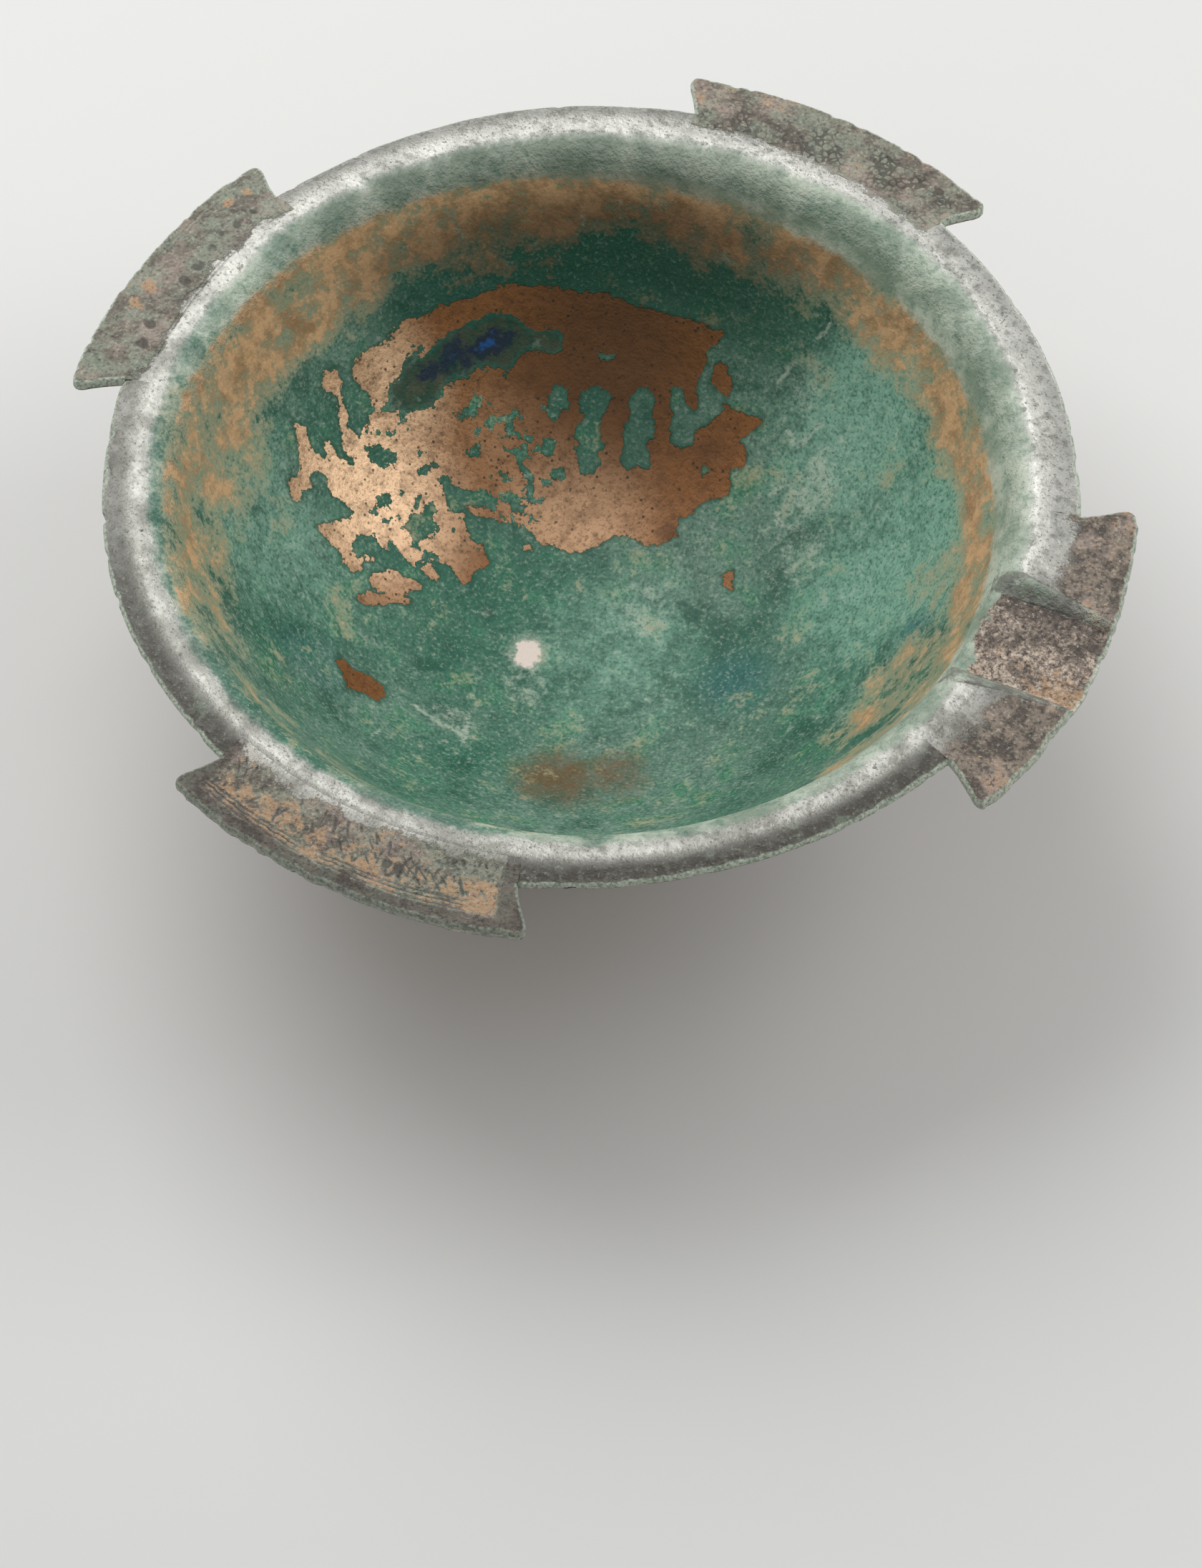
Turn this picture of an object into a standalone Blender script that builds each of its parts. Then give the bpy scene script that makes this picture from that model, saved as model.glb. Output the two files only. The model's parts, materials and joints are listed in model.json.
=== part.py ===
"""Tripod incense burner: a cast bronze bowl on three splayed feet, with a flat crescent lug at each
quarter of its rolled rim. One lug carries a pouring trough that runs in through the rim.

Metres, +Z up. The origin lies on the floor under the bowl's axis, and +X points along the trough.
"""
from math import asin, atan2, cos, pi, radians, sin

import bmesh
import bpy
from mathutils import Vector

# Bowl. Depths are measured down from the crest of the rim.
RIM_HEIGHT = 0.0868        # floor to the crest of the rim
BASIN_DEPTH = 0.0738       # crest to the outside of the bottom
MOUTH_RADIUS = 0.0955      # outside of the basin at its top edge
FLANK_RADIUS = 0.0753      # upper handle of the outside curve
FLANK_DEPTH = 0.0443
BASE_REACH = 0.0565        # lower handle, level with the bottom
WALL = 0.0030
SEAT_DEPTH = 0.0052        # crest to the ledge on which the rim sits

# Rim
RIM_OVERHANG = 0.0125      # rim edge beyond the basin's mouth
CREST_INSET = 0.0076       # rim edge back to the crest
CREST_RUN = 0.0043         # level run outwards from the crest before the fall
RIM_DROP = 0.0008          # fall from the crest to the outer edge
RIM_EDGE = 0.0024          # height of the outer edge
EDGE_CHAMFER = 0.0005
ROOT_FILLET = 0.0020       # how far the underside runs level before it turns down the basin

# Lugs
LUG_REACH = 0.0120         # lug beyond the rim edge
LUG_LET_IN = 0.0060        # lug let into the rim edge
LUG_THICKNESS = 0.0031
LUG_DROOP = 0.0019         # fall of a lug from its root to its outer edge
TIP_ROUNDING = 0.0020
LEFT_LUG_ANGLE = 85.0      # degrees round from the trough, with the lugs as they were cast
REAR_LUG_ANGLE = 173.5
RIGHT_LUG_ANGLE = 268.0
SPOUT_LUG_SPAN = 38.8      # degrees between the two notches beside the lug
LEFT_LUG_SPAN = 34.8
REAR_LUG_SPAN = 33.4
RIGHT_LUG_SPAN = 38.6
TIP_OVERHANG = 0.0044      # each tip runs this far past its notch, along the outer edge

# Trough
TROUGH_WIDTH = 0.0220      # across the floor
TROUGH_DEPTH = 0.0030      # crest to the floor, over the basin's mouth
TROUGH_FALL = 0.0008       # fall of the floor from there to the lug's edge
TROUGH_FLARE = 0.0020      # each side leans out by this much at the top
TROUGH_SIDE = 0.0030       # metal beside the trough's top edge

# Feet
FOOT_TIP_PLACE = 0.0420    # axis of the bowl to the middle of the sole
FOOT_ROOT_PLACE = 0.0325   # axis of the bowl to the middle of the root
FOOT_ROOT_WIDTH = 0.0120
FOOT_ROOT_BACK = 0.0052    # round back of the foot, towards the bowl's axis
FOOT_ROOT_KEEL = 0.0062    # ridge of the foot, away from the bowl's axis
FOOT_TIP_WIDTH = 0.0052
FOOT_TIP_BACK = 0.0025
FOOT_TIP_KEEL = 0.0028
FOOT_TIP_ROUNDING = 0.0030
SOLE_WIDTH = 0.0029        # flat sole inside the rounding of the tip
KEEL_SHARPNESS = 0.6       # 0 gives a round front and 1 a straight-sided ridge
FOOT_FLARE = 0.0016        # casting fillet where the foot meets the basin
FOOT_FLARE_HEIGHT = 0.0050
SPOUT_FOOT_ANGLE = 1.0     # degrees round from the trough, at the soles
LEFT_FOOT_ANGLE = 115.0
RIGHT_FOOT_ANGLE = 238.0
SPOUT_FOOT_TWIST = 0.0     # degrees by which a root stands further round than its sole
LEFT_FOOT_TWIST = 7.0
RIGHT_FOOT_TWIST = 3.0

# Stub of the pouring gate under the basin
STUB_RADIUS = 0.0036
STUB_TAPER = 0.0008        # the stub's free end is smaller by this much all round
STUB_HEIGHT = 0.0009
STUB_PLACE = 0.0330
STUB_ANGLE = 72.5

CLEARANCE = 0.0003         # gap left at every joint
CUT_OVER = 0.0060          # how far a cutter runs past what it cuts

# Facets
TURN_STEPS = 72
CURVE_STEPS = 16
ROLL_STEPS = 6
FALL_STEPS = 3
UNDERSIDE_STEPS = 5
ARC_STEP = radians(2.5)
LUG_STEPS = 16
TIP_SEGMENTS = 3
FOOT_SIDES = 16
FOOT_RINGS = 10
RING_CROWDING = 1.5        # above 1 the rings of a foot crowd towards its sole
STUB_SIDES = 16
SHARP_ANGLE = radians(35)

RIM_RADIUS = MOUTH_RADIUS + RIM_OVERHANG
CREST_RADIUS = RIM_RADIUS - CREST_INSET
LUG_RADIUS = RIM_RADIUS + LUG_REACH
RECESS_RADIUS = RIM_RADIUS - LUG_LET_IN
RIM_BOTTOM = CLEARANCE - SEAT_DEPTH
TONGUE_HALF = TROUGH_WIDTH / 2 + TROUGH_FLARE + TROUGH_SIDE
CUT_START = MOUTH_RADIUS - WALL - CUT_OVER
CUT_END = LUG_RADIUS + CUT_OVER
CUT_BOTTOM = RIM_BOTTOM - CUT_OVER


def clear_scene():
    for item in list(bpy.data.objects):
        bpy.data.objects.remove(item, do_unlink=True)


def patina(name, colour, roughness, metallic):
    """A plain finish in one colour of the weathered bronze."""
    material = bpy.data.materials.new(name)
    material.use_nodes = True
    shader = material.node_tree.nodes["Principled BSDF"]
    shader.inputs["Base Color"].default_value = (*colour, 1.0)
    shader.inputs["Roughness"].default_value = roughness
    shader.inputs["Metallic"].default_value = metallic
    return material


def add_object(name, bm, height=0.0, turn=0.0):
    """Closes the edit mesh and puts it in the scene as one named object, turned about the bowl's axis."""
    mesh = bpy.data.meshes.new(name)
    bmesh.ops.recalc_face_normals(bm, faces=bm.faces)
    bm.to_mesh(mesh)
    bm.free()
    mesh.shade_smooth()
    mesh.set_sharp_from_angle(angle=SHARP_ANGLE)
    item = bpy.data.objects.new(name, mesh)
    item.location = (0, 0, height)
    item.rotation_euler = (0, 0, turn)
    bpy.context.collection.objects.link(item)
    return item


def as_tool(item):
    """Marks an object that only cuts or is added to another one."""
    item.hide_render = True
    item.display_type = "WIRE"
    return item


def combine(item, tool, operation):
    step = item.modifiers.new(tool.name, "BOOLEAN")
    step.object = tool
    step.operation = operation


def blend(start, end, share):
    return start + (end - start) * share


def quadratic(start, handle, end, share):
    return blend(blend(start, handle, share), blend(handle, end, share), share)


def bend(start, handle, end, count):
    """Points along a bent line, ends included."""
    return [quadratic(start, handle, end, step / count) for step in range(count + 1)]


def outside(share, offset=0.0):
    """Point of the basin's outside curve in (radius, height under the crest), moved out by offset."""
    points = [
        Vector((MOUTH_RADIUS, -SEAT_DEPTH)),
        Vector((FLANK_RADIUS, -FLANK_DEPTH)),
        Vector((BASE_REACH, -BASIN_DEPTH)),
        Vector((0.0, -BASIN_DEPTH)),
    ]
    near = quadratic(*points[:3], share)
    far = quadratic(*points[1:], share)
    along = (far - near).normalized()
    normal = Vector((-along.y, along.x))
    return blend(near, far, share) + normal * offset


def share_where(reached):
    """Share along the outside curve at which a test that starts out false becomes true."""
    low, high = 0.0, 1.0
    for _ in range(40):
        middle = (low + high) / 2
        if reached(middle):
            high = middle
        else:
            low = middle
    return high


def outside_height(radius):
    """Height of the basin's outside, under the crest, at a distance from the axis."""
    share = share_where(lambda s: outside(s).x < radius)
    return outside(share).y


def inside_seat():
    """Share of the inside curve's point that lies on the seat."""
    return share_where(lambda s: outside(s, -WALL).y < -SEAT_DEPTH)


def turned(profile, closed):
    """Solid turned about the bowl's axis from an outline in (radius, height)."""
    bm = bmesh.new()
    verts = [bm.verts.new((point.x, 0.0, point.y)) for point in profile]
    edges = [bm.edges.new(pair) for pair in zip(verts, verts[1:])]
    if closed:
        edges.append(bm.edges.new((verts[-1], verts[0])))
    bmesh.ops.spin(bm, geom=verts + edges, cent=(0, 0, 0), axis=(0, 0, 1), angle=2 * pi,
                   steps=TURN_STEPS, use_merge=True)
    bmesh.ops.remove_doubles(bm, verts=bm.verts, dist=0.000001)
    return bm


def prism(outline, bottom, top):
    """Upright solid on a plan outline."""
    bm = bmesh.new()
    face = bm.faces.new([bm.verts.new((point.x, point.y, bottom)) for point in outline])
    raised = bmesh.ops.extrude_face_region(bm, geom=[face])["geom"]
    bmesh.ops.translate(bm, verts=[v for v in raised if isinstance(v, bmesh.types.BMVert)],
                        vec=(0, 0, top - bottom))
    return bm


def polar(radius, angle):
    return Vector((radius * cos(angle), radius * sin(angle)))


def arc(radius, start, end):
    """Points along an arc about the bowl's axis, ends included."""
    count = max(2, round(abs(end - start) / ARC_STEP))
    return [polar(radius, start + (end - start) * step / count) for step in range(count + 1)]


def curve_shares():
    """Even shares along the basin's curve, from its mouth to its bottom."""
    return [step / CURVE_STEPS for step in range(CURVE_STEPS + 1)]


def make_basin():
    seat = inside_seat()
    outer = [outside(1 - share) for share in curve_shares()]
    inner = [outside(blend(seat, 1, share), -WALL) for share in curve_shares()]
    inner[-1].x = 0.0
    bm = turned(outer + inner, closed=False)
    return add_object("basin", bm, RIM_HEIGHT)


def basin_space():
    """The basin and its clearance as one filled body, which the feet and the stub are cut to."""
    outer = [outside(1 - share, CLEARANCE) for share in curve_shares()]
    outer[0].x = 0.0
    lid = Vector((0.0, outer[-1].y))
    return as_tool(add_object("basin_space", turned(outer + [lid], closed=False), RIM_HEIGHT))


def rim_profile():
    """Section of the rolled rim, from the seat over the crest to the edge and back underneath."""
    foot = outside(inside_seat(), -WALL)
    foot.y = RIM_BOTTOM
    lean = (MOUTH_RADIUS - FLANK_RADIUS) / (FLANK_DEPTH - SEAT_DEPTH)
    shoulder = Vector((foot.x - foot.y * lean, 0.0))
    crest = Vector((CREST_RADIUS, 0.0))
    fall = Vector((CREST_RADIUS + CREST_RUN, 0.0))
    edge_foot = -RIM_DROP - RIM_EDGE
    edge_top = Vector((RIM_RADIUS - EDGE_CHAMFER, -RIM_DROP))
    edge_bottom = Vector((RIM_RADIUS - EDGE_CHAMFER, edge_foot))
    underside = Vector((MOUTH_RADIUS + ROOT_FILLET, edge_foot))
    root = Vector((MOUTH_RADIUS, RIM_BOTTOM))
    section = bend(foot, shoulder, crest, ROLL_STEPS)
    section += bend(crest, fall, edge_top, FALL_STEPS)[1:]
    section.append(Vector((RIM_RADIUS, -RIM_DROP - EDGE_CHAMFER)))
    section.append(Vector((RIM_RADIUS, edge_foot + EDGE_CHAMFER)))
    section += bend(edge_bottom, underside, root, UNDERSIDE_STEPS)
    return section


def make_rim(name):
    return add_object(name, turned(rim_profile(), closed=True), RIM_HEIGHT)


def lug_fall(radius):
    """Height of a lug's top, under the crest, at a distance from the axis."""
    return -LUG_DROOP * (radius - RECESS_RADIUS) / (LUG_RADIUS - RECESS_RADIUS)


def make_lug(name, angle, span):
    """Crescent plate let into the rim, notched at the rim edge, with tips that overhang the notches."""
    root = radians(span) / 2
    tip = root + TIP_OVERHANG / LUG_RADIUS
    rows = {
        -1: (RECESS_RADIUS + CLEARANCE, root),
        0: (RIM_RADIUS, root),
        1: (LUG_RADIUS, tip),
    }
    bm = bmesh.new()
    bmesh.ops.create_grid(bm, x_segments=LUG_STEPS, y_segments=2, size=1.0)
    for vert in bm.verts:
        radius, half = rows[round(vert.co.y)]
        plan = polar(radius, half * vert.co.x)
        vert.co = (plan.x, plan.y, lug_fall(radius))
    lowered = bmesh.ops.extrude_face_region(bm, geom=list(bm.faces))["geom"]
    bmesh.ops.translate(bm, verts=[v for v in lowered if isinstance(v, bmesh.types.BMVert)],
                        vec=(0, 0, -LUG_THICKNESS))
    corners = [polar(LUG_RADIUS, side * tip) for side in (-1, 1)]
    upright = [
        edge for edge in bm.edges
        if any(all((v.co.xy - corner).length < CLEARANCE for v in edge.verts) for corner in corners)
    ]
    bmesh.ops.bevel(bm, geom=upright, offset=TIP_ROUNDING, offset_type="OFFSET", affect="EDGES",
                    segments=TIP_SEGMENTS, profile=0.5, material=-1)
    return add_object(name, bm, RIM_HEIGHT, radians(angle))


def recess(name, angle, span):
    """Pocket through the rim edge that takes a lug's root, with the clearance round it."""
    half = radians(span) / 2 + CLEARANCE / RECESS_RADIUS
    outline = arc(RECESS_RADIUS, half, -half) + arc(CUT_END, -half, half)
    bm = prism(outline, CUT_BOTTOM, CUT_OVER)
    return as_tool(add_object(name + "_recess", bm, RIM_HEIGHT, radians(angle)))


def strip(name, half_width):
    """Bar along the trough that runs past the rim and the lug."""
    outline = [
        Vector((CUT_START, -half_width)),
        Vector((CUT_END, -half_width)),
        Vector((CUT_END, half_width)),
        Vector((CUT_START, half_width)),
    ]
    return as_tool(add_object(name, prism(outline, CUT_BOTTOM, CUT_OVER), RIM_HEIGHT))


def trough_floor(radius):
    """Height of the trough's floor, under the crest, at a distance from the axis."""
    return -TROUGH_DEPTH - TROUGH_FALL * (radius - MOUTH_RADIUS) / (LUG_RADIUS - MOUTH_RADIUS)


def trough_space():
    """What is cut out for the trough: a floor that falls outwards and sides that lean out."""
    lean = TROUGH_FLARE / TROUGH_DEPTH
    half_floor = TROUGH_WIDTH / 2
    half_top = half_floor + lean * (TROUGH_DEPTH + CUT_OVER)
    floor = trough_floor(CUT_START)
    top = floor + TROUGH_DEPTH + CUT_OVER
    section = [(-half_floor, floor), (half_floor, floor), (half_top, top), (-half_top, top)]
    bm = bmesh.new()
    face = bm.faces.new([bm.verts.new((CUT_START, across, height)) for across, height in section])
    far = bmesh.ops.extrude_face_region(bm, geom=[face])["geom"]
    bmesh.ops.translate(bm, verts=[v for v in far if isinstance(v, bmesh.types.BMVert)],
                        vec=(CUT_END - CUT_START, 0, trough_floor(CUT_END) - floor))
    return as_tool(add_object("trough_space", bm, RIM_HEIGHT))


def trough_belly():
    """Thicker metal under the trough, from the basin's mouth out to the lug's edge."""
    half = asin(TONGUE_HALF / LUG_RADIUS)
    start = MOUTH_RADIUS + ROOT_FILLET
    outline = [Vector((start, TONGUE_HALF)), Vector((start, -TONGUE_HALF))]
    outline += arc(LUG_RADIUS, -half, half)
    return as_tool(add_object("trough_belly", prism(outline, RIM_BOTTOM, -TROUGH_DEPTH / 2), RIM_HEIGHT))


def add_trough(lug, rim):
    """Carries the spout lug in through a gap in the rim and cuts the trough along it."""
    tongue = as_tool(make_rim("trough_tongue"))
    combine(tongue, strip("tongue_keep", TONGUE_HALF), "INTERSECT")
    combine(lug, trough_belly(), "UNION")
    combine(lug, tongue, "UNION")
    combine(lug, trough_space(), "DIFFERENCE")
    combine(rim, strip("rim_gap", TONGUE_HALF + CLEARANCE), "DIFFERENCE")


def foot_shape(twist):
    """One foot with its sole along +X: a round back, a ridge outwards, a rounded tip and a flat sole."""
    sole = Vector((FOOT_TIP_PLACE, 0.0))
    root = polar(FOOT_ROOT_PLACE, radians(twist))
    root_height = RIM_HEIGHT + outside_height(FOOT_ROOT_PLACE) + WALL
    bm = bmesh.new()
    bmesh.ops.create_cone(bm, cap_ends=True, segments=FOOT_SIDES, radius1=1.0, radius2=1.0, depth=1.0)
    upright = [edge for edge in bm.edges if abs(edge.verts[0].co.z - edge.verts[1].co.z) > 0.5]
    bmesh.ops.subdivide_edges(bm, edges=upright, cuts=FOOT_RINGS - 1, use_grid_fill=True)
    for vert in bm.verts:
        share = (vert.co.z + 0.5) ** RING_CROWDING
        around = atan2(vert.co.y, vert.co.x)
        height = share * root_height
        low = max(0.0, 1.0 - height / FOOT_TIP_ROUNDING)
        narrowing = 1.0 - (1.0 - SOLE_WIDTH / FOOT_TIP_WIDTH) * low ** 2
        flare = FOOT_FLARE * max(0.0, 1.0 - (root_height - height) / FOOT_FLARE_HEIGHT) ** 2
        half_width = blend(FOOT_TIP_WIDTH, FOOT_ROOT_WIDTH, share) / 2 * narrowing + flare
        if cos(around) < 0:
            reach = blend(FOOT_TIP_BACK, FOOT_ROOT_BACK, share) * narrowing + flare
            outwards = reach * cos(around)
        else:
            reach = blend(FOOT_TIP_KEEL, FOOT_ROOT_KEEL, share) * narrowing + flare
            outwards = reach * blend(cos(around), 1 - abs(sin(around)), KEEL_SHARPNESS)
        middle = blend(sole, root, share)
        vert.co = (middle.x + outwards, middle.y + half_width * sin(around), height)
    return bm


def make_foot(name, angle, twist, space):
    foot = add_object(name, foot_shape(twist), 0.0, radians(angle))
    combine(foot, space, "DIFFERENCE")
    return foot


def make_stub(space):
    """Ground-down stub of the gate through which the bowl was poured."""
    height = RIM_HEIGHT + outside_height(STUB_PLACE)
    bottom = height - STUB_HEIGHT
    top = height + WALL
    bm = bmesh.new()
    bmesh.ops.create_cone(bm, cap_ends=True, segments=STUB_SIDES, radius1=STUB_RADIUS - STUB_TAPER,
                          radius2=STUB_RADIUS, depth=top - bottom)
    bmesh.ops.translate(bm, verts=bm.verts, vec=(STUB_PLACE, 0, (top + bottom) / 2))
    stub = add_object("gate_stub", bm, 0.0, radians(STUB_ANGLE))
    combine(stub, space, "DIFFERENCE")
    return stub


def main():
    clear_scene()
    burner = bpy.data.objects.new("burner", None)
    bpy.context.collection.objects.link(burner)

    basin = make_basin()
    rim = make_rim("rim")
    lugs = {
        "spout_lug": (0.0, SPOUT_LUG_SPAN),
        "left_lug": (LEFT_LUG_ANGLE, LEFT_LUG_SPAN),
        "rear_lug": (REAR_LUG_ANGLE, REAR_LUG_SPAN),
        "right_lug": (RIGHT_LUG_ANGLE, RIGHT_LUG_SPAN),
    }
    plates = {}
    for name, (angle, span) in lugs.items():
        plates[name] = make_lug(name, angle, span)
        combine(rim, recess(name, angle, span), "DIFFERENCE")
    add_trough(plates["spout_lug"], rim)

    space = basin_space()
    feet = {
        "spout_foot": (SPOUT_FOOT_ANGLE, SPOUT_FOOT_TWIST),
        "left_foot": (LEFT_FOOT_ANGLE, LEFT_FOOT_TWIST),
        "right_foot": (RIGHT_FOOT_ANGLE, RIGHT_FOOT_TWIST),
    }
    stands = [make_foot(name, angle, twist, space) for name, (angle, twist) in feet.items()]
    stub = make_stub(space)

    basin.data.materials.append(patina("green_basin", (0.10, 0.26, 0.19), 0.60, 0.25))
    rim.data.materials.append(patina("worn_rim", (0.33, 0.36, 0.31), 0.45, 0.55))
    for name, plate in plates.items():
        plate.data.materials.append(patina("grained_" + name, (0.27, 0.23, 0.18), 0.70, 0.25))
    for foot in stands:
        foot.data.materials.append(patina("earthy_" + foot.name, (0.42, 0.30, 0.17), 0.75, 0.15))
    stub.data.materials.append(patina("earthy_stub", (0.30, 0.23, 0.15), 0.75, 0.15))

    for item in bpy.data.objects:
        if item is not burner:
            item.parent = burner


main()
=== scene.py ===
"""Weathered bronze for a tripod incense burner.

Dresses the burner's fixed frame: a cast bowl with a rolled rim, four crescent lugs, a pouring trough
and three splayed feet. It is green inside with bare copper patches, and sandy brown outside.
Metres, +Z up. +X points along the trough, and angles run round from there.
"""
import json
from math import cos, pi, radians, sin

import bmesh
import bpy
import numpy as np
from bpy.props import FloatProperty, FloatVectorProperty, PointerProperty
from mathutils import Matrix, Vector, noise


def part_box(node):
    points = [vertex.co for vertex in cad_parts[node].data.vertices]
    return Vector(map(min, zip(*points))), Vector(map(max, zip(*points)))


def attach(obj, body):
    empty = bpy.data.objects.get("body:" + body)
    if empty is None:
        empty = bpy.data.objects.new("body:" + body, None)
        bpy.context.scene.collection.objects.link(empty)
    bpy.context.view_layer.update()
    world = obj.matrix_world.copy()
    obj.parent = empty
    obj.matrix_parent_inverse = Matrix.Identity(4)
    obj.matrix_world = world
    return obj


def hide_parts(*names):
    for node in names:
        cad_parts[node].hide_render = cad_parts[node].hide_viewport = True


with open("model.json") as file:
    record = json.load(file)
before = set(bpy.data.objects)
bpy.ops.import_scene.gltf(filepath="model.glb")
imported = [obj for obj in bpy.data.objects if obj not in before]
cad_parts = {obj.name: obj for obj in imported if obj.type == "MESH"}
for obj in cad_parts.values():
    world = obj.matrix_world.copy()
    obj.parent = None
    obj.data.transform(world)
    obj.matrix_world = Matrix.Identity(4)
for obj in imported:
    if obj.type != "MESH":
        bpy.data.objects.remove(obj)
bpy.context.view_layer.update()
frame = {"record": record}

bl_info = {
    "name": "Tripod Incense Burner",
    "version": (1, 0, 0),
    "blender": (4, 5, 0),
    "location": "3D View > Sidebar > Burner",
    "description": "Dresses a tripod incense burner in weathered bronze",
    "category": "Add Mesh",
}

SOLES = [mount["pos_m"] for mount in frame["record"]["mounts"]]
MM = 0.001
WELD = 0.00002
DENT_SEED = 5  # keeps the dents of hand work the same on every run
DENTS = ((0.030, 0.35 * MM), (0.009, 0.12 * MM), (0.0032, 0.05 * MM))  # size and depth of each kind
SHARP_TURN = 55  # degrees between two faces from which their edge shows as sharp
LOOKS_DOWN = -0.25  # upward share of a face's normal under which it belongs to the underside
EDGE_REACH = 6  # millimetres from a worn edge where its distance stops counting
OUTLINE_REACH = 4.0  # millimetres from an outline where its distance stops counting

# Facets of the fine meshes
TURN_STEPS = 480
RIM_STEPS = 720
TONGUE_STEPS = 90
STRIP_STEPS = 20  # facets that are swept first and then copied round
INSIDE_RINGS = 112
OUTSIDE_RINGS = 76
ROLL_RINGS = 18
CREST_RINGS = 5
BROW_RINGS = 12
ROUND_EDGE_RINGS = 12
UNDERSIDE_RINGS = 8
PLATE_COLUMNS = 250
PLATE_ROWS = 60
FOOT_SIDES = 56
FOOT_RINGS = 64

# Each lug's middle and the degrees between its notches
LUGS = {
    "spout_lug": (0.0, 38.8),
    "left_lug": (85.0, 34.8),
    "rear_lug": (173.5, 33.4),
    "right_lug": (268.0, 38.6),
}
# How much tan earth, green, brown soil and pale edge each lug shows
LUG_LOOKS = {
    "spout_lug": (0.34, 0.0, 1.0, 0.75),
    "left_lug": (0.36, 0.45, 0.45, 0.90),
    "rear_lug": (0.26, 0.50, 0.32, 0.95),
    "right_lug": (0.66, 0.35, 0.40, 0.45),
}
TONGUE_HALF = 10.0  # degrees of rim on each side that belong to the trough's tongue

# Sides of the bowl, in degrees round from the trough
FAR_SIDE = 115  # the wall that faces the camera
SHADED_SIDE = 124  # where the bloom under the rim is darkest
RIGHT_SIDE = 45  # where that bloom reaches furthest down
NEAR_LEFT = 252  # where little earth lies
HIGHLIGHT_SIDE = 85  # where the rim's crest gets a painted highlight
CLEAN_LIT_SIDE = 50  # where the rim has the least grime and painted shade
FLAKED_SIDE = 203  # where the rim's edge is chipped most
FLAT_SIDE = 312  # where that edge is drawn in
PROUD_SIDE = 125  # where it stands out

# Values that stay 0 on the rim: they belong to the lugs, the trough and the feet
LUG_VALUES = ("field", "engraved", "trough", "flank", "crumbs", "warm", "verdigris", "soil", "tip")

FLOOR_HALF = 4.0  # metres from the middle of the floor to its edge
ROOM_GLOW = 0.9  # how bright the room shows to the camera and in shiny metal
# Each lamp's width and distance in metres, its degrees round from the camera and its rise
LAMPS = {
    "key": (0.85, 1.05, 216, 54),
    "side": (0.60, 1.05, 98, 38),
    "fill": (0.90, 1.40, -25, 50),
}

# Degrees by which each foot's root stands further round than its sole
FOOT_TWISTS = {"spout_foot": 0.0, "left_foot": 7.0, "right_foot": 3.0}

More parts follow.
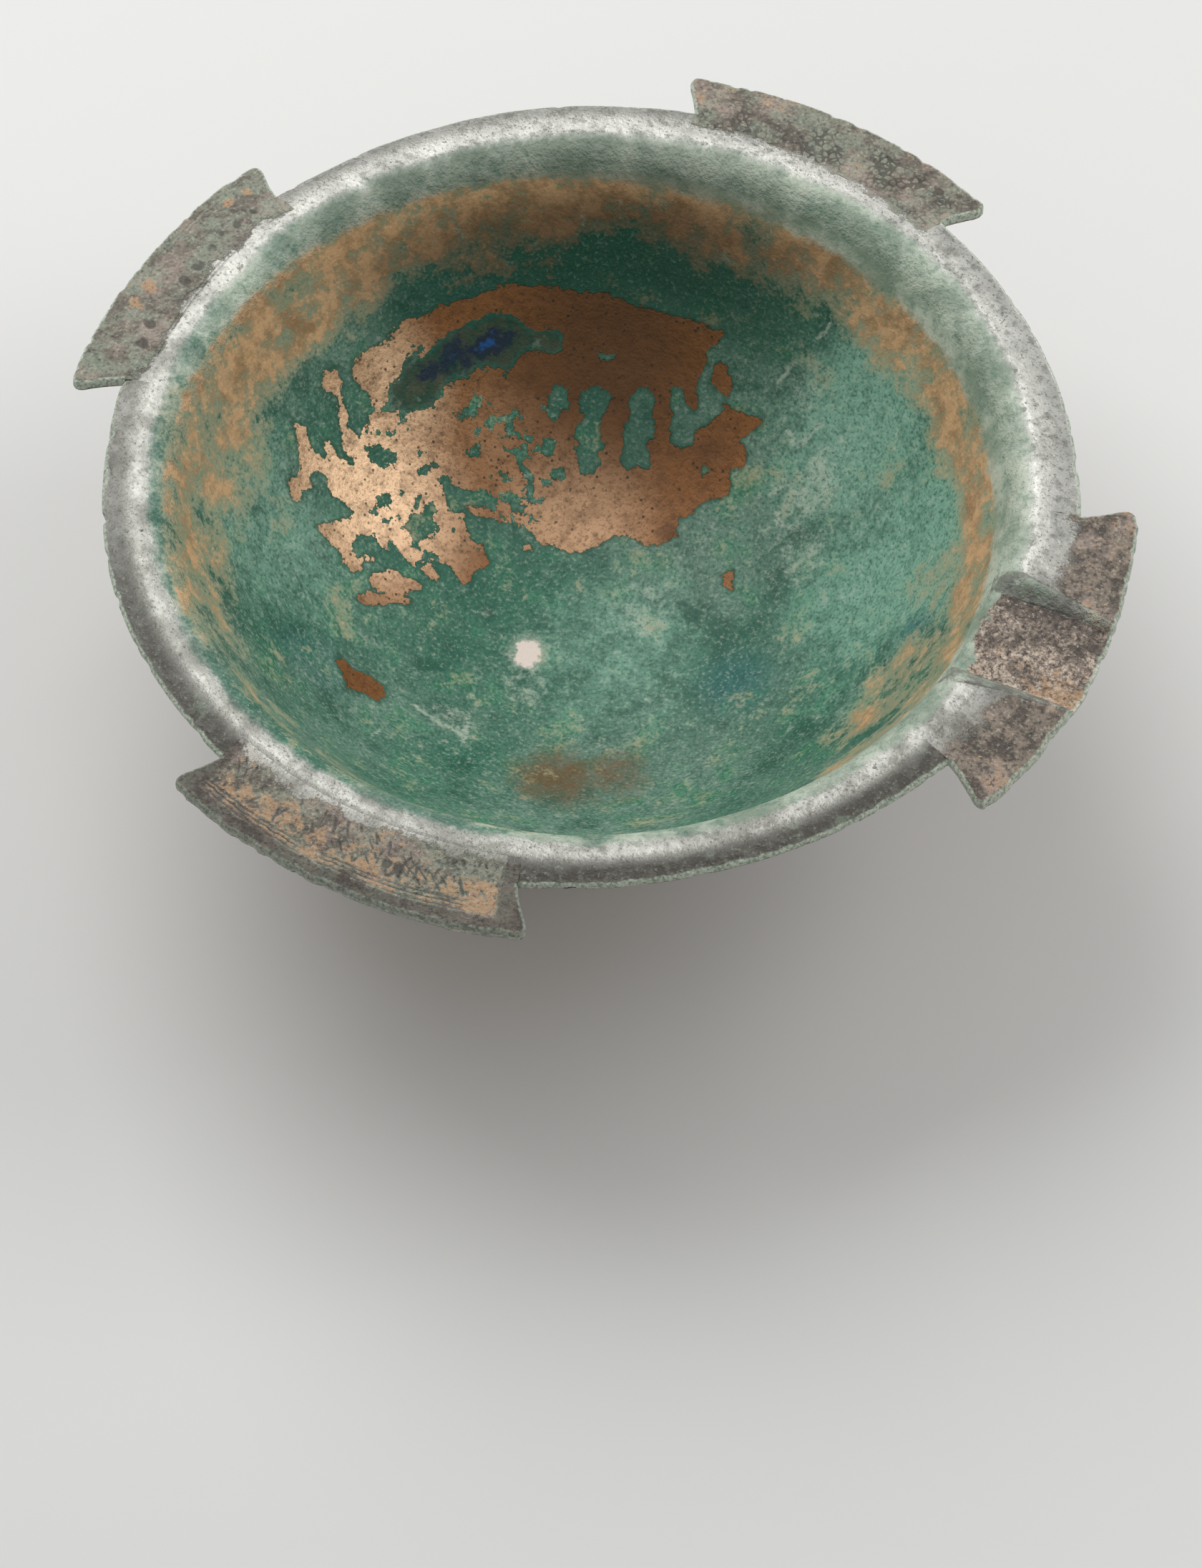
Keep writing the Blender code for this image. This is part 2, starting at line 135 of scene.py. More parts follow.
# Where the patina has flaked off the bowl's inside, as outlines on the plan in millimetres
BARE_COPPER = [
    [(-73, 25), (-73, 28), (-71.5, 32), (-69, 36), (-69, 39), (-66.5, 43), (-64, 46), (-61.5, 50),
     (-57.5, 54), (-55, 56.5), (-52, 60), (-48, 63), (-44, 65), (-40, 67), (-36, 68.5), (-31, 71),
     (-24, 72), (-19, 73), (-14, 74), (-9, 74.6), (-1, 74.8), (-2, 73), (-4, 71.5), (-3, 69.5), (-4, 67),
     (-3.5, 64.5), (-2.3, 63), (-3, 61.5), (-5.5, 62.5), (-7, 64.5), (-9.5, 64), (-8.5, 61), (-7, 59.5),
     (-7, 57.5), (-5.5, 54.5), (-3, 54.6), (0, 56), (-0.8, 58.5), (1.5, 60.5), (3.8, 63), (3, 64.8),
     (5, 64), (8, 64), (10, 63.4), (13.7, 64), (13.5, 62.5), (11, 60.5), (10, 59.3), (12, 58), (13.3, 56),
     (12.5, 54.4), (10.2, 54), (10.5, 52), (12, 50), (11, 48), (7.5, 46.5), (6, 45), (5, 42.5), (3.3, 41),
     (3.2, 39), (4.4, 37), (3, 36), (1, 33.5), (-2, 32.6), (-6, 33), (-9, 32), (-11, 30), (-12.5, 27.5),
     (-14.5, 25), (-17, 23.7), (-21, 23), (-24.5, 22), (-27, 23.3), (-32, 23), (-36, 22), (-39, 20.5),
     (-42, 20), (-42, 18), (-40, 16), (-38.5, 14.8), (-35.5, 15.3), (-34, 13.5), (-32.3, 12.3), (-33, 10),
     (-34.3, 8.5), (-33.8, 5.5), (-35, 3.8), (-37.5, 5), (-39, 6), (-42, 5.7), (-45, 4.5), (-42, 3.5),
     (-40.3, 2.8), (-40, 1.2), (-41.5, 0.4), (-44.5, 1.2), (-51, 0.8), (-53, -0.5), (-55.5, 0.2),
     (-58, -1.5), (-59, -4), (-58, -6.8), (-56, -7), (-55.5, -5), (-54, -4), (-53.5, -4.8), (-55, -6.5),
     (-54.3, -9), (-55.5, -11), (-58, -10.8), (-59.5, -9.2), (-62, -9.3), (-66, -9.2), (-64.5, -6),
     (-63, -3), (-61.8, 0), (-62.5, 1.4), (-65, 1.3), (-66.5, 0.4), (-68, 1.3), (-69.5, 3.5),
     (-70.5, 2.5), (-71.5, 0), (-70, -3), (-71.8, -4.5), (-70.3, -7), (-71.5, -8.8), (-73.8, -7),
     (-73.8, -4.8), (-72.8, -3.5), (-74, 0), (-75.5, 2), (-77, 4), (-78.3, 5), (-76, 7), (-74, 5),
     (-71, 5.2), (-70, 6.5), (-72, 8), (-71.3, 10), (-69.5, 9), (-68.5, 8), (-67.5, 10.5), (-69.5, 11.5),
     (-69.8, 13.5), (-71.5, 15), (-73.5, 18.5), (-76.5, 17), (-77, 20), (-75.5, 22.8), (-73.5, 21.5),
     (-73, 19.5), (-70.5, 17.8), (-69.5, 15.5), (-68, 16.5), (-67, 18.5), (-66, 20.5), (-68, 22),
     (-67.5, 24), (-69, 25.3), (-71, 24.5)],
    [(-1.3, 69.3), (0.3, 70.8), (2.2, 69.6), (4.4, 67.8), (3.8, 65.7), (0.5, 66.3), (-1.2, 67.2)],
    [(-49.5, -2.8), (-47, -3.3), (-45.5, -2.5), (-43, -1.5), (-42, -3.5), (-44, -5.5), (-45, -7),
     (-42.5, -7.5), (-42.5, -9), (-45, -10.3), (-47, -13), (-48.5, -15), (-50.5, -16.5), (-52.5, -16.3),
     (-50.8, -12), (-49, -11), (-48, -9.8), (-50.5, -10.8), (-52.3, -9.8), (-52, -7), (-51, -6)],
    [(-47.5, -34), (-44, -35.2), (-40, -34), (-36.2, -33.8), (-35, -36), (-34.8, -40), (-38, -39.5),
     (-41, -42), (-44, -39), (-46.5, -37)],
    [(18.5, 31), (20.5, 33.2), (21.5, 31.5), (22.5, 28.2), (20, 29)],
    [(-27.8, 20), (-26.7, 21.2), (-25.5, 20), (-26.7, 18.8)],
]
# Islands of patina left inside the bare copper
LEFT_GREEN = [
    [(-29, 55), (-26, 57.5), (-22, 57.8), (-21.8, 55), (-22.5, 52), (-21, 49.5), (-19.5, 48.5),
     (-20.5, 46.5), (-19, 45), (-20, 42), (-22.5, 41), (-24, 42.5), (-25.3, 44.5), (-24.5, 46), (-27, 47),
     (-27.3, 49), (-26, 51), (-28.5, 53)],
    [(-17.8, 58.5), (-17, 61), (-14.5, 62), (-12, 60.8), (-11.8, 58.5), (-10.5, 57), (-9.5, 54.5),
     (-11, 53), (-9, 51), (-7.5, 48.5), (-11, 47.5), (-13, 46), (-15.5, 47), (-15.5, 50), (-17, 52.5),
     (-16.5, 55.5)],
    [(-35.2, 52), (-34.5, 53.8), (-31.5, 54), (-31, 51.5), (-32, 49), (-34.5, 49.3)],
    [(-28.2, 62), (-27.5, 63), (-24.2, 63.7), (-24, 62.7), (-27.5, 61.5)],
    [(-33, 43.5), (-31, 44), (-30, 42), (-31, 40), (-32.8, 41)],
    [(-28.8, 38.5), (-27, 40), (-25.5, 38.5), (-27.8, 37)],
    [(-37, 39), (-36, 40.5), (-35.2, 38.5), (-36.3, 37.3)],
    [(-36.5, 36.8), (-33, 35.5), (-31, 33), (-30, 30), (-31.3, 30), (-32.3, 32.5), (-34, 34.3),
     (-36.3, 35.3)],
    [(-35.5, 28), (-34, 29.3), (-32, 28), (-30.5, 29), (-31, 26.5), (-33, 25.5)],
    [(-47.3, 32), (-45.5, 34), (-44.6, 32.5), (-46, 30.3)],
    [(-42.3, 41), (-40.8, 43), (-39.5, 41), (-41, 39.5)],
    [(-51.8, 36.7), (-50, 40), (-48.5, 40.8), (-49.5, 38), (-51, 36.3)],
    [(-53.5, 22.5), (-52, 25), (-51, 24.5), (-52.3, 22.3)],
    [(-59, 8.5), (-57.5, 11.3), (-56, 11), (-57, 9), (-58, 6.8)],
    [(-64.5, 17), (-63, 19), (-61.3, 18), (-61, 15.5), (-63.5, 15)],
    [(-50, 22.5), (-49, 24.5), (-46.5, 23), (-43, 24.5), (-40, 26.5), (-37.5, 25.5), (-39, 23),
     (-42, 21.5), (-42.5, 19.5), (-45, 17.8), (-46.5, 19), (-48, 20.5)],
    [(-50.5, 16), (-48, 15.5), (-46.5, 12), (-46, 9), (-48, 7), (-52, 7.5), (-51.5, 10), (-49.5, 13)],
    [(2.9, 52), (4.2, 53.2), (5.4, 52), (4.2, 50.7)],
    [(-67.8, 10.5), (-66.5, 11.7), (-65.3, 10.5), (-66.5, 9.3)],
]
# The blue crescent, its bright core and the chalky spot, as outlines on the plan in millimetres
BLUE_CRESCENT = [
    (-66, 30), (-64.8, 33), (-65, 37.5), (-62, 40), (-60.5, 44), (-58, 48.5), (-55, 52), (-51.5, 56),
    (-48, 58.3), (-43, 58.6), (-40, 60.5), (-37, 61.8), (-35.5, 59.5), (-37, 57.5), (-41, 56.5),
    (-43.5, 54.3), (-45, 50), (-48.5, 48.5), (-51.5, 46.5), (-52, 44), (-55.5, 41), (-56.5, 38),
    (-57, 34), (-59.5, 30.5), (-62, 28), (-64.5, 26), (-65, 28)]
BLUE_CORE = [
    (-62, 36), (-58.5, 44), (-54, 49.5), (-50, 54), (-46, 56), (-47.5, 52.5), (-50.5, 49.5),
    (-54.5, 45.5), (-57.5, 40.5)]
CHALK_SPOT = [
    (-17.5, -3.5), (-16.5, -1.2), (-13.5, -0.8), (-11.5, -2), (-11, -5), (-12, -7.5), (-14.5, -8.3),
    (-16.8, -7)]
# Soft spots on the plan: middle and reach in millimetres, and strength
BROWN_STAINS = [(10, -38, 13, 0.60), (20, -30, 10, 0.52)]
TEAL_STAINS = [(34, 5, 9, 0.9), (73, 16, 4, 1.0), (-52, 52, 12, 0.6), (-50, -42, 9, 0.5)]
# Pale dust, partly painted light where the side walls are lit.
DUST_AND_LIGHT = [(64, 34, 28, 0.85), (40, 66, 22, 0.9), (66, 8, 18, 0.35), (4, 5, 24, 0.5), (-74, -22, 26, 0.5)]
PALE_SCUFFS = [
    (-10, -14, 8, 0.6), (5, 17, 12, 0.6), (31, 54, 12, 0.7), (33, 40, 12, 0.6), (22, 70, 8, 0.6),
    (-20, -32, 9, 0.6), (62, -5, 8, 0.5), (30, 12, 14, 0.35)]
DARK_SPOTS = [(-12, 53, 18, 0.75), (-50, 18, 16, 0.4), (-75, 45, 12, 0.5)]
OCHRE_STAINS = [(76, 5, 11, 0.60), (74, -10, 9, 0.60), (82, 30, 12, 0.45), (-86, -22, 14, 0.55)]
SPOTTED_COPPER = [
    (-33, 30, 13, 0.75), (-46, 40, 8, 0.8), (-60, 22, 9, 0.8), (-52, 8, 10, 0.9), (-38, 14, 8, 0.8),
    (-35, 45, 8, 0.6), (-62, 36, 6, 0.7)]
# Paler copper at the left and in the middle is a painted sheen.
COPPER_SHEEN = [(-62, 8, 22, 1.0), (-64, 30, 12, 0.7), (-20, 30, 18, 0.4), (-40, 38, 12, 0.15)]
# Browner copper at the top of the patch is painted shade.
SHADED_COPPER = [(-25, 64, 26, 0.95), (-40, 55, 12, 0.7), (3, 55, 6, 0.5), (2, 37, 3, 0.8)]
# Pale scratches on the plan: start, end and half width in millimetres, and strength
SCRATCHES = [
    ((-29, -34), (-22, -35), 1.0, 0.85),
    ((-22, -35), (-15.5, -35.2), 1.1, 0.95),
    ((-21, -19), (-19.5, -23), 0.9, 0.75),
    ((-17, -31), (-15, -37), 0.8, 0.95),
    ((-30, -52), (-30, -48), 0.9, 0.80),
    ((22, 77), (24, 79), 1.0, 0.95),
    ((15, 70), (17, 73), 1.0, 0.95),
    ((20, 63), (23, 61), 0.7, 1.00),
    ((25, 60), (28, 64), 1.2, 0.85),
    ((33, 59), (36, 64), 1.2, 0.75),
    ((25, 47), (28, 44), 0.8, 1.00),
    ((36, 49), (38, 53), 1.2, 0.80),
    ((22, 51), (25, 53), 0.7, 0.85),
    ((28, 51), (30, 53), 1.0, 0.90),
    ((49, 58), (48, 62), 0.7, 0.90),
]


def length(name, words, default):
    return FloatProperty(name=name, description=words, default=default, unit="LENGTH", precision=5)


def power(name, words, default):
    return FloatProperty(name=name, description=words, default=default, unit="POWER")


def turn(name, words, degrees):
    return FloatProperty(name=name, description=words, default=radians(degrees), subtype="ANGLE")


def colour(name, words, *screen):
    """A colour given as it shows on a screen, from 0 to 255, and kept as linear light."""
    shares = [value / 255 for value in screen]
    light = [s / 12.92 if s < 0.04045 else ((s + 0.055) / 1.055) ** 2.4 for s in shares]
    return FloatVectorProperty(name=name, description=words, default=light, subtype="COLOR", min=0, max=1)


class BurnerSizes(bpy.types.PropertyGroup):
    """Sizes of the burner. Depths are measured down from the crest of the rim."""
    rim_height: length("Rim height", "Floor to the crest of the rim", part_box("rim")[1].z)
    bottom_height: length("Bottom height", "Floor to the outside of the basin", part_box("basin")[0].z)
    seat_height: length("Seat height", "Floor to the ledge under the rim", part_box("basin")[1].z)
    mouth_radius: length("Mouth radius", "Outside of the basin at its top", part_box("basin")[1].x)
    flank_radius: length("Flank radius", "Upper handle of the basin's curve", 0.0753)
    flank_depth: length("Flank depth", "Crest down to that handle", 0.0443)
    base_reach: length("Base reach", "Lower handle, level with the bottom", 0.0565)
    wall: length("Wall", "Thickness of the basin", 0.0030)
    rim_radius: length("Rim radius", "Axis to the rim's edge", 0.1080)
    crest_radius: length("Crest radius", "Axis to the top of the roll", 0.1004)
    crest_run: length("Crest run", "Level run outwards from the crest", 0.0043)
    rim_drop: length("Rim drop", "Fall from the crest to the edge", 0.0008)
    rim_edge: length("Rim edge", "Height of the rim's edge", 0.0024)
    root_fillet: length("Root fillet", "Run of the rim's underside before it turns down", 0.0020)
    recess_radius: length("Recess radius", "Axis to where a lug is let in", 0.1020)
    lug_radius: length("Lug radius", "Axis to the outer edge of a lug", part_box("spout_lug")[1].x)
    lug_thickness: length("Lug thickness", "Thickness of a lug", 0.0031)
    lug_droop: length("Lug droop", "Fall of a lug to its outer edge", 0.0019)
    tip_overhang: length("Tip overhang", "Run of a lug's tip past its notch", 0.0044)
    tip_rounding: length("Tip rounding", "Radius of a lug's corners", 0.0034)
    edge_rounding: length("Edge rounding", "Worn radius along a lug's edges", 0.0009)
    spout_reach: length("Spout reach", "Run of the spout lug past the other lugs", 0.0012)
    trough_width: length("Trough width", "Width of the trough's floor", 0.0215)
    trough_flare: length("Trough flare", "Lean of each of its sides", 0.0032)
    trough_depth: length("Trough depth", "Crest to the floor over the basin's mouth", 0.0031)
    trough_fall: length("Trough fall", "Fall of its floor to the lug's edge", 0.0008)
    foot_root_place: length("Foot root place", "Axis to the middle of a foot's root", 0.0325)
    foot_root_width: length("Foot root width", "Width of a foot at its root", 0.0120)
    foot_root_back: length("Foot root back", "Reach of the root towards the axis", 0.0052)
    foot_root_keel: length("Foot root keel", "Reach of the root away from the axis", 0.0062)
    foot_tip_width: length("Foot tip width", "Width of a foot just over its tip", 0.0054)
    foot_tip_back: length("Foot tip back", "Reach of the tip towards the axis", 0.0025)
    foot_tip_keel: length("Foot tip keel", "Reach of the tip away from the axis", 0.0028)
    foot_tip_rounding: length("Foot tip rounding", "Height of the rounded tip", 0.0030)
    sole_width: length("Sole width", "Flat under a foot", 0.0029)
    foot_flare: length("Foot flare", "Fillet where a foot meets the basin", 0.0018)
    foot_flare_height: length("Foot flare height", "Height of that fillet", 0.0050)
    stub_radius: length("Stub radius", "Half the width of the gate stub", 0.0036)
    stub_height: length("Stub height", "Height of the gate stub under the basin", 0.0009)
    stub_place: length("Stub place", "Axis to the middle of the stub", 0.0330)
    stub_angle: turn("Stub angle", "Round from the trough to the stub", 72.5)


class BurnerColours(bpy.types.PropertyGroup):
    """Colours of the weathered bronze."""
    green: colour("Green", "Patina inside the bowl", 58, 110, 90)
    grey_green: colour("Grey green", "Dull patina", 104, 136, 120)
    # Dusty green also serves as painted light on the bowl's side walls.
    dusty_green: colour("Dusty green", "Patina under pale dust", 142, 190, 168)
    deep_green: colour("Deep green", "Glassy patina in the dark parts", 20, 74, 58)
    # Bottle green also serves as the painted shade on the far wall.
    bottle_green: colour("Bottle green", "Dark glaze on the far wall", 8, 56, 40)
    bright_green: colour("Bright green", "Fresh patina", 50, 136, 98)
    sage: colour("Sage", "Dull bloom under the rim", 138, 154, 136)
    mint: colour("Mint", "Pale bloom under the rim and on edges", 198, 207, 190)
    teal: colour("Teal", "Blue-green stain", 34, 104, 106)
    olive: colour("Olive", "Earth thin over the patina", 168, 166, 134)
    ochre: colour("Ochre", "Earth under the rim", 216, 170, 124)
    rust: colour("Rust", "Darker earth", 152, 112, 74)
    stain: colour("Stain", "Brown stain on the patina", 104, 72, 40)
    olive_brown: colour("Olive brown", "Dull ring round the blue crescent", 62, 62, 44)
    copper: colour("Copper", "Bare metal inside the bowl", 132, 87, 49)
    # Pale copper also serves as the painted sheen on the bare copper.
    pale_copper: colour("Pale copper", "Rubbed bare metal", 254, 212, 172)
    # Brown also serves as painted shade on the top of the copper and on the far wall's earth.
    brown: colour("Brown", "Stain on the bare metal", 76, 50, 28)
    blue: colour("Blue", "Dark blue crust", 10, 32, 52)
    azure: colour("Azure", "Bright blue grains", 26, 88, 156)
    chalk: colour("Chalk", "Chalky spot", 236, 220, 210)
    worn_metal: colour("Worn metal", "Grey metal along the crest of the rim", 118, 118, 112)
    bright_metal: colour("Bright metal", "Rubbed metal along the crest", 164, 164, 158)
    # Silver is a painted highlight on the rim's right side.
    silver: colour("Silver", "Bright metal on the rim's right side", 200, 200, 194)
    dull_metal: colour("Dull metal", "Tarnish on the rim", 98, 98, 90)
    # Grime also serves as painted shade on the rim's near side.
    grime: colour("Grime", "Dark film towards the rim's edge", 62, 58, 49)
    lug_grey: colour("Lug grey", "Field of a lug", 132, 130, 116)
    lug_rose: colour("Lug rose", "Rosy grains on a lug", 178, 160, 148)
    lug_tan: colour("Lug tan", "Earth caught in the engraving", 176, 141, 106)
    pale_stone: colour("Pale stone", "Grains in the trough", 208, 190, 172)
    dark_soil: colour("Dark soil", "Soil in the hollows of a lug", 60, 51, 44)
    line_brown: colour("Line brown", "Bottom of an engraved line", 44, 37, 31)
    gravel: colour("Gravel", "Floor of the trough", 128, 116, 103)
    sand: colour("Sand", "Earth on the outside", 234, 204, 170)
    dull_sand: colour("Dull sand", "Thin earth", 174, 151, 126)
    charcoal: colour("Charcoal", "Dark metal of the outside", 58, 49, 42)
    moss: colour("Moss", "Dark green of the foot tips", 58, 64, 50)
    umber: colour("Umber", "Brown metal of the outside", 94, 81, 69)
    floor: colour("Floor", "Plain pale floor", 226, 226, 224)


class BurnerStage(bpy.types.PropertyGroup):
    """Camera and lamps."""
    camera_place: FloatVectorProperty(
        name="Camera place", description="Where the camera stands", subtype="TRANSLATION", precision=5,
        default=(0.34873, -0.71315, 1.12903))
    camera_turn: turn("Camera turn", "How far the camera is turned round the burner", 25.944)
    camera_rise: turn("Camera rise", "How far the camera looks down", 55.690)
    camera_roll: turn("Camera roll", "How far the camera leans", -0.740)
    camera_lens: FloatProperty(name="Lens", description="Focal length", default=135.889, unit="CAMERA")
    key_power: power("Key power", "Soft lamp at the left, behind the bowl", 7.5)
    side_power: power("Side power", "Soft lamp at the right", 4.2)
    fill_power: power("Fill power", "Soft lamp at the camera", 0.6)
    air: FloatProperty(name="Air", description="Even light from all round", default=0.30, min=0)


def smooth(low, high, value):
    """0 under low, 1 over high, and a smooth rise between."""
    share = np.clip((value - low) / (high - low), 0.0, 1.0)
    return share * share * (3.0 - 2.0 * share)


def soft_min(first, second, width):
    """The lower of two heights, with the corner between them rounded."""
    share = np.clip(0.5 + 0.5 * (second - first) / width, 0.0, 1.0)
    return second + (first - second) * share - width * share * (1.0 - share)


def bend(points, shares):
    """Points along a curve that its handles draw."""
    row = [np.outer(1.0 - shares, a) + np.outer(shares, b) for a, b in zip(points, points[1:])]
    while len(row) > 1:
        row = [a * (1.0 - shares)[:, None] + b * shares[:, None] for a, b in zip(row, row[1:])]
    return row[0]


def spaced(line, count):
    """The same line with count even steps."""
    run = np.concatenate([[0.0], np.cumsum(np.hypot(*np.diff(line, axis=0).T))])
    marks = np.linspace(0.0, run[-1], count + 1)
    return np.stack([np.interp(marks, run, line[:, 0]), np.interp(marks, run, line[:, 1])], axis=1)


class Shape:
    """The burner's curves in (radius, height), worked out from the sizes in the panel."""

    def __init__(self, sizes):
        self.sizes = sizes
        fine = np.linspace(0.0, 1.0, 801)
        crest = sizes.rim_height
        self.outer = bend([
            (sizes.mouth_radius, sizes.seat_height),
            (sizes.flank_radius, crest - sizes.flank_depth),
            (sizes.base_reach, sizes.bottom_height),
            (0.0, sizes.bottom_height),
        ], fine)
        along = np.gradient(self.outer, axis=0)
        along /= np.linalg.norm(along, axis=1)[:, None]
        inner = self.outer + sizes.wall * np.stack([along[:, 1], -along[:, 0]], axis=1)
        inner = inner[(inner[:, 1] < sizes.seat_height) & (inner[:, 0] > 0)]
        mouth = np.array([inner[0, 0], sizes.seat_height])
        self.inner = np.concatenate([[mouth], inner, [(0.0, inner[-1, 1])]])
        lean = (self.inner[0] - self.inner[40]) / (self.inner[0, 1] - self.inner[40, 1])
        rise = crest - sizes.seat_height
        self.roll = bend([mouth, (mouth[0] + lean[0] * rise, crest), (sizes.crest_radius, crest)], fine)
        edge = sizes.rim_radius - sizes.rim_edge / 2
        brow = (sizes.crest_radius + sizes.crest_run, crest)
        self.fall = bend([(sizes.crest_radius, crest), brow, (edge, crest - sizes.rim_drop)], fine)
        under = crest - sizes.rim_drop - sizes.rim_edge
        fillet = (sizes.mouth_radius + sizes.root_fillet, under)
        self.underside = bend([(edge, under), fillet, (sizes.mouth_radius, sizes.seat_height)], fine)

    def outside_height(self, radius):
        return np.interp(radius, self.outer[::-1, 0], self.outer[::-1, 1])

    def rim_section(self):
        """The rim's section in three runs: up to the recess, round the edge, and back underneath."""
        sizes = self.sizes
        recess = sizes.recess_radius
        top = self.fall[self.fall[:, 0] < recess]
        seam = (recess, np.interp(recess, self.fall[:, 0], self.fall[:, 1]))
        low_seam = (recess, np.interp(recess, self.underside[::-1, 0], self.underside[::-1, 1]))
        half = sizes.rim_edge / 2
        round_edge = [
            (self.fall[-1, 0] + half * sin(a), self.fall[-1, 1] - half + half * cos(a))
            for a in np.linspace(0.0, pi, ROUND_EDGE_RINGS + 1)
        ]
        crest = spaced(np.concatenate([top, [seam]]), CREST_RINGS)
        inward = np.concatenate([spaced(self.roll, ROLL_RINGS), crest[1:]])
        brow = spaced(np.concatenate([[seam], self.fall[self.fall[:, 0] > recess]]), BROW_RINGS)
        ledge = np.concatenate([self.underside[self.underside[:, 0] > recess], [low_seam]])
        outward = np.concatenate([brow[1:], round_edge[1:-1], spaced(ledge, UNDERSIDE_RINGS)[:-1]])
        below = np.concatenate([[low_seam], self.underside[self.underside[:, 0] < recess]])
        return inward, outward, spaced(below, UNDERSIDE_RINGS)


def grain(places, size, octaves=3):
    """Uneven values round 0 at each place, with grains of a size in metres."""
    return np.array([noise.fractal(Vector(place) / size, 1.0, 2.0, octaves) for place in places])


def polar(places):
    """Distance from the axis, and angle round it."""
    return np.hypot(places[:, 0], places[:, 1]), np.arctan2(places[:, 1], places[:, 0])


def facing(angle, side):
    """1 at a side given in degrees, and 0 opposite to it."""
    return 0.5 + 0.5 * np.cos(angle - radians(side))


def hump(angle, side, width):
    """A soft rise at a side, both given in degrees."""
    return np.exp(-((np.mod(angle, 2 * pi) - radians(side)) / radians(width)) ** 2)


def uneven(places):
    """Moves places by the dents of hand work, the same for every piece, so joints stay closed."""
    noise.seed_set(DENT_SEED)
    moved = places.copy()
    for size, depth in DENTS:
        moved += depth * np.array([noise.noise_vector(Vector(place) / size) for place in places])
    return moved


def line_distance(places, start, side):
    """Distance on the plan to a straight line from its start along its side."""
    share = np.clip((places - start) @ side / (side @ side), 0.0, 1.0)
    return np.linalg.norm(places - start - share[:, None] * side, axis=1)


def signed_distance(places, outline):
    """Distance on the plan to an outline, above 0 inside it."""
    corners = np.array(outline, float)
    nearest = np.full(len(places), np.inf)
    inside = np.zeros(len(places), bool)
    for start, end in zip(corners, np.roll(corners, -1, axis=0)):
        side = end - start
        nearest = np.minimum(nearest, line_distance(places, start, side))
        spans = (start[1] > places[:, 1]) != (end[1] > places[:, 1])
        crossing = start[0] + side[0] * (places[:, 1] - start[1]) / (side[1] or 1.0)
        inside ^= spans & (places[:, 0] < crossing)
    return np.where(inside, nearest, -nearest)


def soft_spots(places, spots):
    """Strength on the plan of a few soft round spots."""
    strength = np.zeros(len(places))
    for x, y, reach, peak in spots:
        gap = np.hypot(places[:, 0] - x, places[:, 1] - y)
        strength = np.maximum(strength, peak * (1.0 - smooth(0.2 * reach, 1.5 * reach, gap)))
    return strength


def thin_lines(places, lines):
    """Strength on the plan of a few thin lines."""
    strength = np.zeros(len(places))
    for start, end, reach, peak in lines:
        gap = line_distance(places, np.array(start), np.subtract(end, start))
        strength = np.maximum(strength, peak * smooth(reach, 0.3 * reach, gap))
    return strength


def closed_mesh(name, bm):
    """Welds an edit mesh, turns its faces outwards and gives it as a mesh."""
    bmesh.ops.remove_doubles(bm, verts=bm.verts, dist=WELD)
    bmesh.ops.recalc_face_normals(bm, faces=bm.faces)
    mesh = bpy.data.meshes.new(name)
    bm.to_mesh(mesh)
    bm.free()
    return mesh


def capped_mesh(name, bm):
    """Closes the ends of a sweep and gives it as a mesh."""
    bmesh.ops.remove_doubles(bm, verts=bm.verts, dist=WELD)
    bmesh.ops.holes_fill(bm, edges=[edge for edge in bm.edges if edge.is_boundary], sides=0)
    return closed_mesh(name, bm)


def read_places(mesh):
    places = np.empty(len(mesh.vertices) * 3)
    mesh.vertices.foreach_get("co", places)
    return places.reshape(-1, 3)


def write_places(mesh, places):
    mesh.vertices.foreach_set("co", places.ravel())
    bm = bmesh.new()
    bm.from_mesh(mesh)
    bmesh.ops.recalc_face_normals(bm, faces=bm.faces)
    bm.to_mesh(mesh)
    bm.free()
    mesh.shade_smooth()
    mesh.set_sharp_from_angle(angle=radians(SHARP_TURN))


def write_values(mesh, **layers):
    """Stores named values on a mesh, each one number for all of it or one for each place."""
    for name, values in layers.items():
        column = np.zeros(len(mesh.vertices), np.float32)
        column[:] = values
        mesh.attributes.new(name, "FLOAT", "POINT").data.foreach_set("value", column)


def face_normals(mesh):
    normals = np.empty(len(mesh.polygons) * 3)
    mesh.polygons.foreach_get("normal", normals)
    return normals.reshape(-1, 3)


def dress(mesh, node, top, under=None):
    """Puts a mesh in the scene for a node of the frame. Faces that look down take the second finish."""
    piece = bpy.data.objects.new("weathered_" + node, mesh)
    bpy.context.scene.collection.objects.link(piece)
    mesh.materials.append(finished(top))
    if under:
        mesh.materials.append(finished(under))
        low = face_normals(mesh)[:, 2] < LOOKS_DOWN
        mesh.polygons.foreach_set("material_index", low.astype(np.int32))
    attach(piece, "root")
    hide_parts(node)


def profile(bm, section, angle, closed):
    """A section stood up at an angle round the axis, as edges to spin."""
    verts = [bm.verts.new((r * cos(angle), r * sin(angle), z)) for r, z in section]
    ends = verts[1:] + verts[:1] if closed else verts[1:]
    return verts + [bm.edges.new(pair) for pair in zip(verts, ends)]


